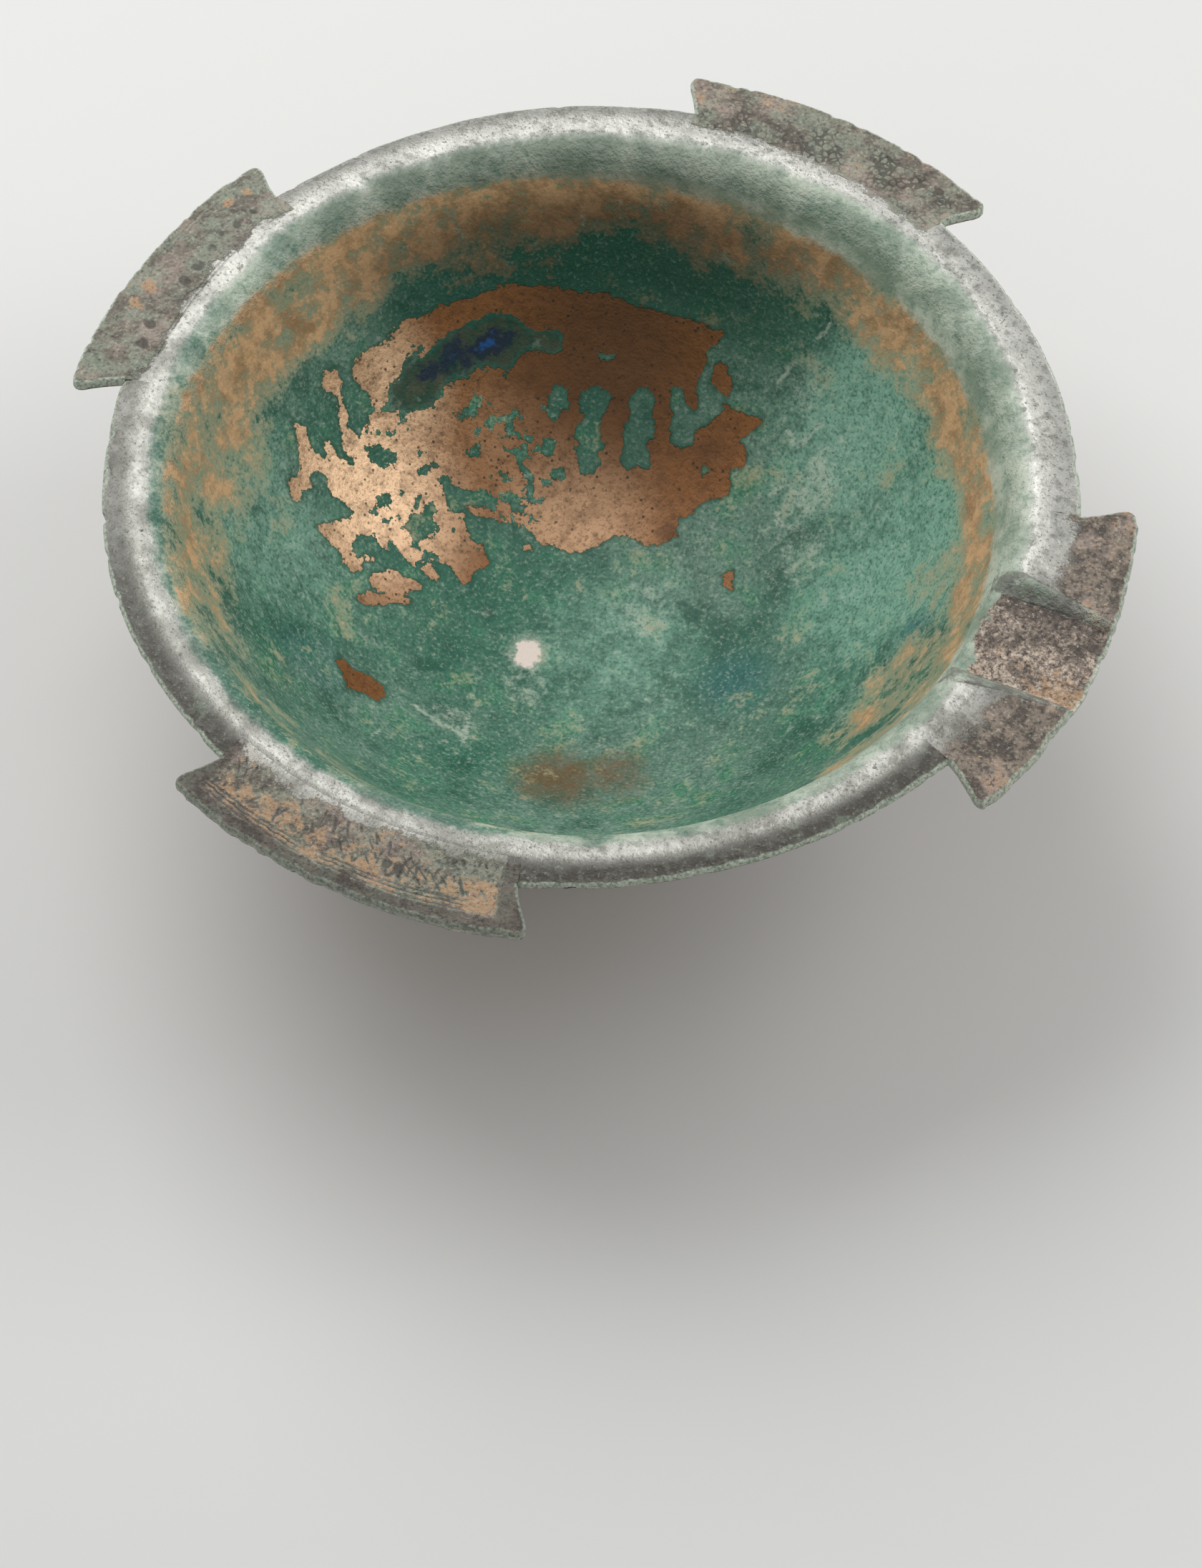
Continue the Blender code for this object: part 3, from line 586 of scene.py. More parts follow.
def spin(bm, section, start, end, steps, closed):
    """Sweeps a section round the axis: one narrow strip first, then copies of it side by side."""
    strips = max(1, round(steps / STRIP_STEPS))
    width = (end - start) / strips
    about = {"cent": (0, 0, 0), "axis": (0, 0, 1)}
    strip = bmesh.new()
    edges = profile(strip, section, start, closed)
    bmesh.ops.spin(strip, geom=edges, angle=width, steps=round(steps / strips), **about)
    if strips > 1:
        whole = strip.verts[:] + strip.edges[:] + strip.faces[:]
        rest = strips - 1
        bmesh.ops.spin(strip, geom=whole, angle=width * rest, steps=rest, use_duplicate=True, **about)
    swept = bpy.data.meshes.new("swept")
    strip.to_mesh(swept)
    strip.free()
    bm.from_mesh(swept)
    bpy.data.meshes.remove(swept)


def plate(name, columns, rows):
    """A slab from -1 to 1 each way with a fine grid on its two sides, to be mapped to its place."""
    bm = bmesh.new()
    bmesh.ops.create_grid(bm, x_segments=columns, y_segments=rows, size=1.0)
    bmesh.ops.translate(bm, verts=bm.verts, vec=(0, 0, 1))
    lowered = bmesh.ops.extrude_face_region(bm, geom=list(bm.faces))["geom"]
    below = [part for part in lowered if isinstance(part, bmesh.types.BMVert)]
    bmesh.ops.translate(bm, verts=below, vec=(0, 0, -2))
    return closed_mesh(name, bm)


def beside_trough(shape, places):
    """Distance sideways from the trough's floor, below 0 on the floor. Its sides wander a little."""
    wander = 0.6 * MM * grain(places * (1.0, 0.2, 0.2), 0.012, 2)
    return np.abs(places[:, 1] + wander) - shape.sizes.trough_width / 2


def cut_trough(shape, places, top):
    """Sinks the trough into the top and thickens the metal under it. Gives its floor and its flanks."""
    sizes = shape.sizes
    beside = beside_trough(shape, places)
    out = (places[:, 0] - sizes.mouth_radius) / (sizes.lug_radius - sizes.mouth_radius)
    floor = sizes.rim_height - sizes.trough_depth - sizes.trough_fall * out
    flare = sizes.trough_flare * (1.35 - 0.7 * np.clip(out, 0.0, 1.0))
    climb = np.clip(beside / flare, 0.0, 3.0)
    ragged = 2.5 * MM * grain(places, 0.005, 3)
    begun = smooth(sizes.mouth_radius - 3.0 * MM, sizes.mouth_radius + 1.0 * MM, places[:, 0] + ragged)
    inside = smooth(1.2 * MM, -0.6 * MM, beside) * begun
    flank = smooth(-0.3 * MM, 0.8 * MM, beside) * smooth(1.5 * flare, 1.0 * flare, beside)
    flank *= 1.0 - 0.6 * out
    rough = grain(places, 0.0022, 3) * 0.34 * MM + grain(places, 0.006, 2) * 0.30 * MM
    bed = floor + 1.3 * sizes.trough_depth * climb ** 1.3 + rough * inside
    sunk = soft_min(places[:, 2], bed, 1.8 * MM)
    belly = sizes.seat_height + 0.3 * MM + 4.0 * MM * smooth(0.013, 0.019, np.abs(places[:, 1]))
    places[:, 2] = np.where(top, sunk, np.minimum(places[:, 2], belly))
    return inside * top, flank * top


def rim_swell(angle):
    """How far the rim's edge stands out from a true circle."""
    swell = -0.9 * MM * hump(angle, FLAT_SIDE, 22)
    swell += 0.6 * MM * hump(angle, PROUD_SIDE, 24)
    for middle, span in LUGS.values():
        for side in (-1, 1):
            gap = np.abs(np.mod(angle - radians(middle + side * span / 2) + pi, 2 * pi) - pi)
            swell += 0.5 * MM * np.exp(-(gap / radians(5)) ** 2)
    return swell


class Finish:
    """One surface, painted step by step in its node tree."""

    def __init__(self, name):
        self.material = bpy.data.materials.new(name)
        self.material.use_nodes = True
        self.nodes = self.material.node_tree.nodes
        self.links = self.material.node_tree.links
        self.shader = self.nodes["Principled BSDF"]
        self.place = self.nodes.new("ShaderNodeTexCoord").outputs["Object"]

    def put(self, socket, value):
        if isinstance(value, bpy.types.NodeSocket):
            self.links.new(value, socket)
        elif socket.type == "RGBA":
            socket.default_value = (*value, 1.0)
        else:
            socket.default_value = value

    def shade(self, name, value):
        self.put(self.shader.inputs[name], value)

    def own(self, name):
        """A value that the piece's mesh carries."""
        node = self.nodes.new("ShaderNodeAttribute")
        node.attribute_name = name
        return node.outputs["Fac"]

    def stretched(self, x, y, z):
        node = self.nodes.new("ShaderNodeMapping")
        self.put(node.inputs["Vector"], self.place)
        node.inputs["Scale"].default_value = (x, y, z)
        return node.outputs["Vector"]

    def grains(self, size, detail=3.0, roughness=0.55, place=None):
        """Cloudy values from 0 to 1 with clouds of a size in metres."""
        node = self.nodes.new("ShaderNodeTexNoise")
        self.put(node.inputs["Vector"], place or self.place)
        node.inputs["Scale"].default_value = 1.0 / size
        node.inputs["Detail"].default_value = detail
        node.inputs["Roughness"].default_value = roughness
        return node.outputs["Fac"]

    def cells(self, size):
        """Distance from the middle of cells of a size in metres."""
        node = self.nodes.new("ShaderNodeTexVoronoi")
        self.put(node.inputs["Vector"], self.place)
        node.inputs["Scale"].default_value = 1.0 / size
        return node.outputs["Distance"]

    def reckon(self, operation, first, second, third=None):
        """One step of arithmetic."""
        node = self.nodes.new("ShaderNodeMath")
        node.operation = operation
        for socket, value in zip(node.inputs, (first, second, third)):
            if value is not None:
                self.put(socket, value)
        return node.outputs["Value"]

    def ragged(self, value, *grains):
        """A value shaken by (grain, amount) pairs."""
        for cloud, amount in grains:
            value = self.reckon("MULTIPLY_ADD", cloud, amount, value)
        return self.reckon("SUBTRACT", value, sum(amount for _, amount in grains) / 2)

    def band(self, value, low, high):
        """0 at low, 1 at high, and a smooth change between."""
        node = self.nodes.new("ShaderNodeMapRange")
        node.interpolation_type = "SMOOTHSTEP"
        self.put(node.inputs["Value"], value)
        falling = low > high
        node.inputs["From Min"].default_value = min(low, high)
        node.inputs["From Max"].default_value = max(low, high)
        node.inputs["To Min"].default_value = 1.0 if falling else 0.0
        node.inputs["To Max"].default_value = 0.0 if falling else 1.0
        return node.outputs["Result"]

    def layer(self, amount, under, over):
        """One colour laid over another."""
        node = self.nodes.new("ShaderNodeMix")
        node.data_type = "RGBA"
        self.put(node.inputs["Factor"], amount)
        self.put(node.inputs[6], under)
        self.put(node.inputs[7], over)
        return node.outputs[2]

    def lay(self, under, over, value, low, high, amount=None):
        """One colour laid over another where a value runs from low to high."""
        share = self.band(value, low, high)
        return self.layer(share if amount is None else self.times(share, amount), under, over)

    def level(self, amount, under, over):
        """One number that gives way to another."""
        node = self.nodes.new("ShaderNodeMix")
        self.put(node.inputs["Factor"], amount)
        self.put(node.inputs[2], under)
        self.put(node.inputs[3], over)
        return node.outputs[0]

    def times(self, first, second):
        return self.reckon("MULTIPLY", first, second)

    def relief(self, height, depth):
        """Fine relief in metres that the mesh is too coarse for."""
        node = self.nodes.new("ShaderNodeBump")
        node.inputs["Distance"].default_value = depth
        self.put(node.inputs["Height"], height)
        self.shade("Normal", node.outputs["Normal"])


def patina(finish, colours):
    """Green patina with earth, a pale bloom under the rim and painted shade on the far wall, for the basin
    and the rim's inner roll.
    """
    broad = finish.grains(0.045, 4.0)
    cloud = finish.grains(0.012, 6.0, 0.66)
    fine = finish.grains(0.0026, 4.0, 0.65)
    grit = finish.grains(0.0008, 2.0, 0.6)
    mottle = finish.grains(0.0075, 7.0, 0.70)
    streak = finish.grains(0.018, 6.0, 0.68, finish.stretched(1.0, 1.0, 2.4))
    flake = finish.grains(0.0050, 8.0, 0.85)
    dusk, ochre = finish.own("dusk"), finish.own("ochre")
    skin = finish.lay(colours.green, colours.grey_green, broad, 0.36, 0.64)
    skin = finish.lay(skin, colours.bright_green, cloud, 0.50, 0.66, 0.60)
    skin = finish.lay(skin, colours.deep_green, cloud, 0.48, 0.34, 0.60)
    # Dusty green spots are pale dust and partly painted light on the side walls.
    dust = finish.ragged(finish.own("dust"), (cloud, 0.8), (fine, 0.5))
    skin = finish.lay(skin, colours.dusty_green, dust, 0.05, 0.90, 0.80)
    deep = finish.own("deep")
    plain = finish.reckon("MULTIPLY_ADD", deep, -0.95, 1.0)
    skin = finish.layer(deep, skin, colours.deep_green)
    skin = finish.lay(skin, colours.deep_green, fine, 0.53, 0.38, 0.26)
    skin = finish.lay(skin, colours.mint, fine, 0.55, 0.72, finish.times(plain, 0.30))
    scuff = finish.ragged(finish.own("scuff"), (flake, 1.6), (fine, 0.8), (cloud, 0.6))
    skin = finish.lay(skin, colours.mint, scuff, 0.42, 0.90, 0.55)
    skin = finish.layer(finish.times(finish.own("teal"), 0.6), skin, colours.teal)
    skin = finish.lay(skin, colours.mint, grit, 0.54, 0.72, finish.times(plain, 0.32))
    skin = finish.lay(skin, colours.deep_green, grit, 0.48, 0.34, 0.52)
    skin = finish.lay(skin, colours.mint, flake, 0.62, 0.68, finish.times(plain, 0.50))
    stain = finish.ragged(finish.own("stain"), (cloud, 1.2), (fine, 0.7))
    skin = finish.lay(skin, colours.stain, stain, 0.10, 0.75, 0.85)
    # Painted shade on the far wall, partly its dark glaze, turns the patina bottle green.
    skin = finish.layer(finish.times(dusk, 0.75), skin, colours.bottle_green)
    # Pale specks in that painted shade are painted glints.
    skin = finish.lay(skin, colours.grey_green, grit, 0.54, 0.72, finish.times(dusk, 0.42))

    earth = finish.lay(colours.rust, colours.ochre, mottle, 0.38, 0.60)
    earth = finish.lay(earth, colours.rust, fine, 0.50, 0.34, 0.55)
    earth = finish.lay(earth, colours.pale_copper, grit, 0.54, 0.72, 0.22)
    # The same painted shade turns the earth brown on the far wall.
    earth = finish.layer(finish.times(dusk, 0.80), earth, colours.brown)
    laid = finish.ragged(ochre, (cloud, 1.7), (streak, 0.5), (mottle, 1.1), (fine, 0.8), (grit, 0.5))
    # The thin earth takes the same painted shade.
    thin = finish.layer(finish.times(dusk, 0.85), colours.olive, colours.brown)
    skin = finish.lay(skin, thin, laid, 0.12, 0.44, 0.62)
    skin = finish.lay(skin, earth, laid, 0.40, 0.76, 0.85)
    skin = finish.lay(skin, colours.bright_green, flake, 0.42, 0.34, finish.times(ochre, 0.9))
    skin = finish.lay(skin, colours.sage, flake, 0.55, 0.67, finish.times(ochre, 0.9))

    bloom = finish.lay(colours.sage, colours.mint, cloud, 0.36, 0.64)
    bloom = finish.lay(bloom, colours.grey_green, fine, 0.48, 0.34, 0.5)
    bloom = finish.lay(bloom, colours.green, grit, 0.44, 0.30, 0.3)
    bloom = finish.layer(finish.times(finish.own("shade"), 0.50), bloom, colours.moss)
    mouth = finish.ragged(finish.own("mouth"), (mottle, 1.3), (streak, 0.8), (flake, 0.9))
    skin = finish.lay(skin, bloom, mouth, 0.28, 0.70, 0.88)
    return skin, bloom, cloud, mottle, fine, grit


def green_patina(colours):
    """Inside of the basin: the patina, the blue crescent, and bare copper where it has flaked off, with a
    painted sheen and painted shade on the copper.
    """
    finish = Finish("green_patina")
    skin, _, cloud, mottle, fine, grit = patina(finish, colours)
    worn = finish.grains(0.0015, 3.0, 0.6)
    spots = finish.grains(0.0033, 3.0, 0.6)
    shadow = finish.lay(colours.bottle_green, colours.olive_brown, mottle, 0.40, 0.60)
    shadow = finish.lay(shadow, colours.sage, spots, 0.58, 0.70, 0.45)
    skin = finish.lay(skin, shadow, finish.own("crescent"), -0.4, 1.2, 0.85)
    azure = finish.ragged(finish.own("blue"), (mottle, 9.0), (spots, 9.0))
    skin = finish.lay(skin, colours.blue, azure, -1.2, 0.9, 0.92)
    skin = finish.lay(skin, colours.azure, azure, 1.9, 3.2, 0.65)

    bare = finish.ragged(finish.own("copper"), (worn, 2.4), (grit, 0.8))
    spotted = finish.times(finish.own("spotted"), finish.band(spots, 0.50, 0.68))
    bare = finish.reckon("MULTIPLY_ADD", spotted, -6.0, bare)
    # Pale copper laid over the bare metal here is a painted sheen.
    metal = finish.layer(finish.own("rubbed"), colours.copper, colours.pale_copper)
    # Brown over the copper's top is painted shade.
    metal = finish.layer(finish.times(finish.own("tarnish"), 0.80), metal, colours.brown)
    metal = finish.lay(metal, colours.brown, mottle, 0.52, 0.36, 0.32)
    metal = finish.lay(metal, colours.brown, fine, 0.52, 0.36, 0.36)
    metal = finish.lay(metal, colours.brown, grit, 0.48, 0.32, 0.50)
    pits = finish.times(finish.band(finish.cells(0.0021), 0.22, 0.12), finish.band(cloud, 0.44, 0.52))
    metal = finish.layer(finish.times(pits, 0.85), metal, colours.line_brown)
    skin = finish.lay(skin, colours.deep_green, bare, -0.9, -0.1, 0.60)
    laid_bare = finish.band(bare, -0.10, 0.12)
    skin = finish.layer(laid_bare, skin, metal)
    chalk = finish.ragged(finish.own("chalk"), (spots, 5.0), (worn, 3.0), (grit, 1.2))
    skin = finish.lay(skin, colours.mint, chalk, -2.6, 0.0, 0.40)
    skin = finish.lay(skin, colours.chalk, chalk, -0.5, 0.6)

    finish.shade("Base Color", skin)
    finish.shade("Roughness", finish.level(laid_bare, finish.level(fine, 0.42, 0.72), 0.48))
    finish.shade("Metallic", finish.times(laid_bare, 0.25))
    finish.shade("Specular IOR Level", 0.28)
    crust = finish.reckon("MULTIPLY_ADD", fine, 0.8, finish.reckon("MULTIPLY_ADD", grit, 0.35, cloud))
    finish.relief(finish.reckon("MULTIPLY_ADD", laid_bare, -0.55, crust), 0.35 * MM)
    return finish.material


def earthy_crust(colours):
    """Outside: sandy earth in ragged patches over dark brown metal."""
    finish = Finish("earthy_crust")
    level = finish.stretched(1.0, 1.0, 1.7)
    broad = finish.grains(0.040, 6.0, 0.60, level)
    cloud = finish.grains(0.010, 7.0, 0.72, level)
    fine = finish.grains(0.0024, 5.0, 0.70)
    grit = finish.grains(0.0008, 2.0, 0.6)
    metal = finish.lay(colours.charcoal, colours.umber, cloud, 0.40, 0.60)
    metal = finish.lay(metal, colours.line_brown, fine, 0.50, 0.36, 0.6)
    metal = finish.lay(metal, colours.dull_sand, grit, 0.56, 0.74, 0.45)
    earth = finish.ragged(broad, (cloud, 0.95), (fine, 0.60), (grit, 0.30))
    thin = finish.lay(colours.umber, colours.dull_sand, grit, 0.40, 0.62)
    skin = finish.lay(metal, thin, earth, 0.42, 0.55, 0.8)
    sand = finish.lay(colours.dull_sand, colours.sand, fine, 0.38, 0.62)
    sand = finish.lay(sand, colours.umber, grit, 0.48, 0.32, 0.6)
    thick = finish.band(earth, 0.535, 0.575)
    skin = finish.layer(thick, skin, sand)
    pits = finish.times(finish.band(finish.cells(0.0032), 0.20, 0.10), finish.band(cloud, 0.46, 0.56))
    skin = finish.layer(finish.times(pits, 0.85), skin, colours.line_brown)
    skin = finish.layer(finish.times(finish.own("tip"), finish.band(fine, 0.30, 0.52)), skin, colours.moss)
    finish.shade("Base Color", skin)
    finish.shade("Roughness", finish.level(thick, 0.60, 0.90))
    finish.shade("Specular IOR Level", 0.25)
    finish.shade("Metallic", 0.0)
    crust = finish.reckon("MULTIPLY_ADD", thick, 0.5, finish.reckon("MULTIPLY_ADD", fine, 0.9, cloud))
    crust = finish.reckon("MULTIPLY_ADD", grit, 0.4, crust)
    finish.relief(finish.reckon("MULTIPLY_ADD", pits, -0.5, crust), 0.5 * MM)
    return finish.material


def rubbed_bronze(colours):
    """Rim and lugs: a worn grey crest with a painted highlight on one side, grime and painted shade towards
    the edge, grained fields and pale worn edges.
    """
    finish = Finish("rubbed_bronze")
    wall, bloom, cloud, mottle, fine, grit = patina(finish, colours)
    radius = finish.own("radius")
    pits = finish.grains(0.0006, 2.0, 0.6)

    metal = finish.lay(colours.worn_metal, colours.bright_metal, cloud, 0.38, 0.60)
    # Silver over the crest towards one side is a painted highlight.
    metal = finish.layer(finish.times(finish.own("polish"), 0.42), metal, colours.silver)
    metal = finish.lay(metal, colours.dull_metal, fine, 0.50, 0.34, 0.55)
    metal = finish.lay(metal, colours.grime, pits, 0.44, 0.30, 0.65)
    inner = finish.ragged(radius, (cloud, 5.0), (mottle, 3.0), (fine, 2.0), (grit, 1.0))
    rubbed = finish.band(inner, 95.6, 98.8)
    skin = finish.layer(rubbed, wall, metal)
    # Grime towards the edge, with painted shade on the near side.
    film = finish.ragged(radius, (cloud, 3.2), (fine, 1.6), (grit, 0.8))
    film = finish.times(finish.band(film, 100.4, 104.8), finish.own("film"))
    dark = finish.lay(colours.grime, colours.dull_metal, fine, 0.42, 0.68)
    dark = finish.lay(dark, colours.sage, mottle, 0.56, 0.66, 0.4)
    dark = finish.lay(dark, colours.mint, grit, 0.56, 0.72, 0.25)
    skin = finish.layer(film, skin, dark)

    field = finish.ragged(finish.own("field"), (fine, 1.3), (cloud, 0.8), (grit, 0.8))
    field = finish.band(field, 0.22, 0.80)
    soil = finish.own("soil")
    warm = finish.own("warm")
    ground = finish.layer(soil, colours.lug_grey, colours.gravel)
    ground = finish.lay(ground, colours.dark_soil, mottle, 0.52, 0.42, finish.level(soil, 0.20, 0.85))
    ground = finish.lay(ground, colours.dark_soil, fine, 0.51, 0.38, finish.level(soil, 0.55, 0.85))
    ground = finish.lay(ground, colours.lug_rose, cloud, 0.48, 0.62, 0.50)
    green = finish.times(finish.own("verdigris"), finish.band(mottle, 0.44, 0.58))
    ground = finish.layer(green, ground, colours.sage)
    tan = finish.ragged(warm, (cloud, 1.1), (mottle, 0.7), (fine, 1.3), (grit, 0.6))
    ground = finish.lay(ground, colours.lug_tan, tan, 0.40, 0.74, 0.85)
    ground = finish.lay(ground, colours.line_brown, grit, 0.46, 0.32, finish.level(soil, 0.35, 0.75))
    ground = finish.lay(ground, colours.mint, grit, 0.55, 0.72, 0.35)
    skin = finish.layer(field, skin, ground)
    cut = finish.ragged(finish.own("engraved"), (fine, 0.4))
    skin = finish.lay(skin, colours.line_brown, cut, 0.25, 0.80, 0.72)

    flank = finish.band(finish.ragged(finish.own("flank"), (fine, 0.7), (cloud, 0.9)), 0.30, 0.85)
    slope = finish.lay(colours.dull_metal, bloom, mottle, 0.42, 0.60)
    skin = finish.layer(finish.times(flank, 0.80), skin, slope)
    trough = finish.band(finish.ragged(finish.own("trough"), (fine, 1.1), (grit, 0.5)), 0.36, 0.64)
    crumbs = finish.own("crumbs")
    gravel = finish.grains(0.0011, 4.0, 0.75)
    stones = finish.lay(colours.dark_soil, colours.pale_stone, gravel, 0.34, 0.66)
    stones = finish.lay(stones, colours.dark_soil, mottle, 0.50, 0.40, 0.55)
    # Line brown on the trough's upper side is a painted shadow.
    shade = finish.ragged(crumbs, (mottle, 0.8), (fine, 0.4))
    stones = finish.lay(stones, colours.line_brown, shade, 0.40, 0.12, 0.70)
    flecks = finish.ragged(crumbs, (cloud, 1.3), (fine, 1.5), (grit, 0.6))
    stones = finish.lay(stones, colours.lug_tan, flecks, 0.44, 0.84, 0.70)
    stones = finish.lay(stones, colours.line_brown, grit, 0.46, 0.32, 0.65)
    stones = finish.lay(stones, colours.chalk, grit, 0.60, 0.72, 0.45)
    skin = finish.layer(trough, skin, stones)

    chipped = finish.band(finish.ragged(finish.own("edge"), (fine, 1.0), (cloud, 0.9)), 0.90, 0.35)
    pale = finish.lay(colours.sage, colours.mint, grit, 0.36, 0.58)
    skin = finish.layer(finish.times(chipped, finish.own("pale")), skin, pale)

    rough = field
    for part in (film, trough, chipped, flank):
        rough = finish.reckon("MAXIMUM", rough, part)
    shine = finish.times(rubbed, finish.reckon("SUBTRACT", 1.0, rough))
    finish.shade("Base Color", skin)
    dull, bright = finish.level(fine, 0.50, 0.78), finish.level(fine, 0.32, 0.54)
    finish.shade("Roughness", finish.level(shine, dull, bright))
    finish.shade("Metallic", finish.times(shine, 0.8))
    height = finish.times(finish.reckon("MULTIPLY_ADD", grit, 0.5, fine), finish.level(shine, 1.0, 0.16))
    finish.relief(height, 0.8 * MM)
    return finish.material


def finished(make):
    """A finish under its maker's name, made on its first use."""
    return bpy.data.materials.get(make.__name__) or make(bpy.context.scene.burner_colours)


def lay_earth(mesh, shape, true, inside):
    """Where earth, dark glaze, painted shade and pale bloom lie inside the bowl, from the rim's crest down.
    """
    plan = true[:, :2] / MM
    depth = (shape.sizes.rim_height - true[:, 2]) / MM
    angle = polar(true)[1]
    far, right = facing(angle, FAR_SIDE), facing(angle, RIGHT_SIDE)
    near_left = hump(angle, NEAR_LEFT, 34)
    reach = 25 - 6 * smooth(0.0, 0.6, far) + 5 * grain(true, 0.030, 3)
    begins = smooth(0.3 + 4.0 * right, 2.0 + 7.5 * right, depth)
    earth = begins * smooth(reach + 9, reach - 4, depth) * (0.46 + 0.20 * smooth(0.1, 0.6, far))
    earth = np.maximum(earth * (1.0 - 0.60 * near_left), soft_spots(plan, OCHRE_STAINS))
    glaze = smooth(reach - 2, reach + 4, depth) * smooth(reach + 28, reach + 12, depth)
    glaze = np.maximum(glaze * smooth(0.84, 1.0, far), soft_spots(plan, DARK_SPOTS))
    bloom = smooth(3.0 + 10.5 * right, 1.0 + 5.2 * right, depth) * (0.5 + 0.5 * right - 0.3 * near_left)
    # Painted shade, partly dark glaze, down the far wall from under the rim.
    dusk = smooth(0.82, 1.0, far) * smooth(4.0, 16.0, depth) * smooth(46.0, 24.0, depth)
    shade = smooth(0.84, 0.99, facing(angle, SHADED_SIDE))
    write_values(mesh, ochre=earth * inside, deep=0.75 * glaze * inside, mouth=bloom * inside,
                 dusk=dusk * inside, shade=shade * inside)


class BURNER_OT_basin(bpy.types.Operator):
    """Turns the basin and lays its patina"""
    bl_idname = "burner.basin"
    bl_label = "Basin"

    def execute(self, context):
        shape = Shape(context.scene.burner_sizes)
        bm = bmesh.new()
        outer, inner = spaced(shape.outer[::-1], OUTSIDE_RINGS), spaced(shape.inner, INSIDE_RINGS)
        spin(bm, np.concatenate([outer, inner]), 0.0, 2 * pi, TURN_STEPS, closed=False)
        mesh = closed_mesh("basin", bm)
        true = read_places(mesh)
        radius = polar(true)[0]
        inside = true[:, 2] > shape.outside_height(radius) + shape.sizes.wall / 2
        plan = true[:, :2] / MM
        lay_earth(mesh, shape, true, inside)
        self.lay_stains(mesh, plan, inside)
        self.lay_copper(mesh, plan, inside)
        crust = np.where(inside, 0.0, grain(true * (1, 1, 1.6), 0.010, 4) + 0.5 * grain(true, 0.0035, 3))
        crust *= smooth(shape.sizes.seat_height, shape.sizes.seat_height - 5 * MM, true[:, 2])
        outwards = true * (1, 1, 0) / np.maximum(radius, MM)[:, None]
        write_places(mesh, uneven(true) + outwards * crust[:, None] * 0.22 * MM)
        dress(mesh, "basin", green_patina, earthy_crust)
        return {"FINISHED"}

    def lay_stains(self, mesh, plan, inside):
        """Where stains and scuffs lie on the inside."""
        scuff = np.maximum(soft_spots(plan, PALE_SCUFFS), thin_lines(plan, SCRATCHES))
        write_values(mesh, teal=soft_spots(plan, TEAL_STAINS) * inside,
                     stain=soft_spots(plan, BROWN_STAINS) * inside, scuff=scuff * inside,
                     dust=soft_spots(plan, DUST_AND_LIGHT) * inside, tip=0.0)

    def lay_copper(self, mesh, plan, inside):
        """How far, in millimetres, each place lies inside the bare copper, the blue and the chalky spot."""
        floor = plan[inside]
        crescent = signed_distance(floor, BLUE_CRESCENT)
        bare = np.max([signed_distance(floor, outline) for outline in BARE_COPPER], axis=0)
        bare = np.minimum(bare, -crescent)
        for outline in LEFT_GREEN:
            bare = np.minimum(bare, -signed_distance(floor, outline))
        depths = {"copper": bare, "crescent": crescent, "blue": signed_distance(floor, BLUE_CORE),
                  "chalk": signed_distance(floor, CHALK_SPOT)}
        for name, distance in depths.items():
            values = np.full(len(plan), -OUTLINE_REACH)
            values[inside] = np.clip(distance, -OUTLINE_REACH, OUTLINE_REACH)
            write_values(mesh, **{name: values})
        # Soft spots of specks on the copper, of its painted sheen and of its painted shade.
        write_values(mesh, spotted=soft_spots(plan, SPOTTED_COPPER), rubbed=soft_spots(plan, COPPER_SHEEN),
                     tarnish=soft_spots(plan, SHADED_COPPER))


def rim_values(mesh, shape, true, edge, pale=0.85, film=1.0):
    """Values that the rim, the lugs and the tongue all carry for their shared finish."""
    radius, angle = polar(true)
    near = 1.0 - facing(angle, FAR_SIDE)
    reached = 1.5 * smooth(0.55, 0.15, near)
    # Where the crest gets its painted highlight
    polish = smooth(0.45, 0.85, facing(angle, HIGHLIGHT_SIDE))
    clean_and_lit = smooth(0.75, 0.95, facing(angle, CLEAN_LIT_SIDE))
    # More grime and painted shade on the near side, less on the clean lit side.
    film = film * (0.40 + 0.60 * smooth(0.4, 0.9, near)) * (1.0 - 0.8 * clean_and_lit)
    lay_earth(mesh, shape, true, 1.0)
    write_values(mesh, radius=radius / MM - reached, polish=polish, film=film,
                 edge=np.clip(edge / MM, 0, EDGE_REACH), pale=pale)


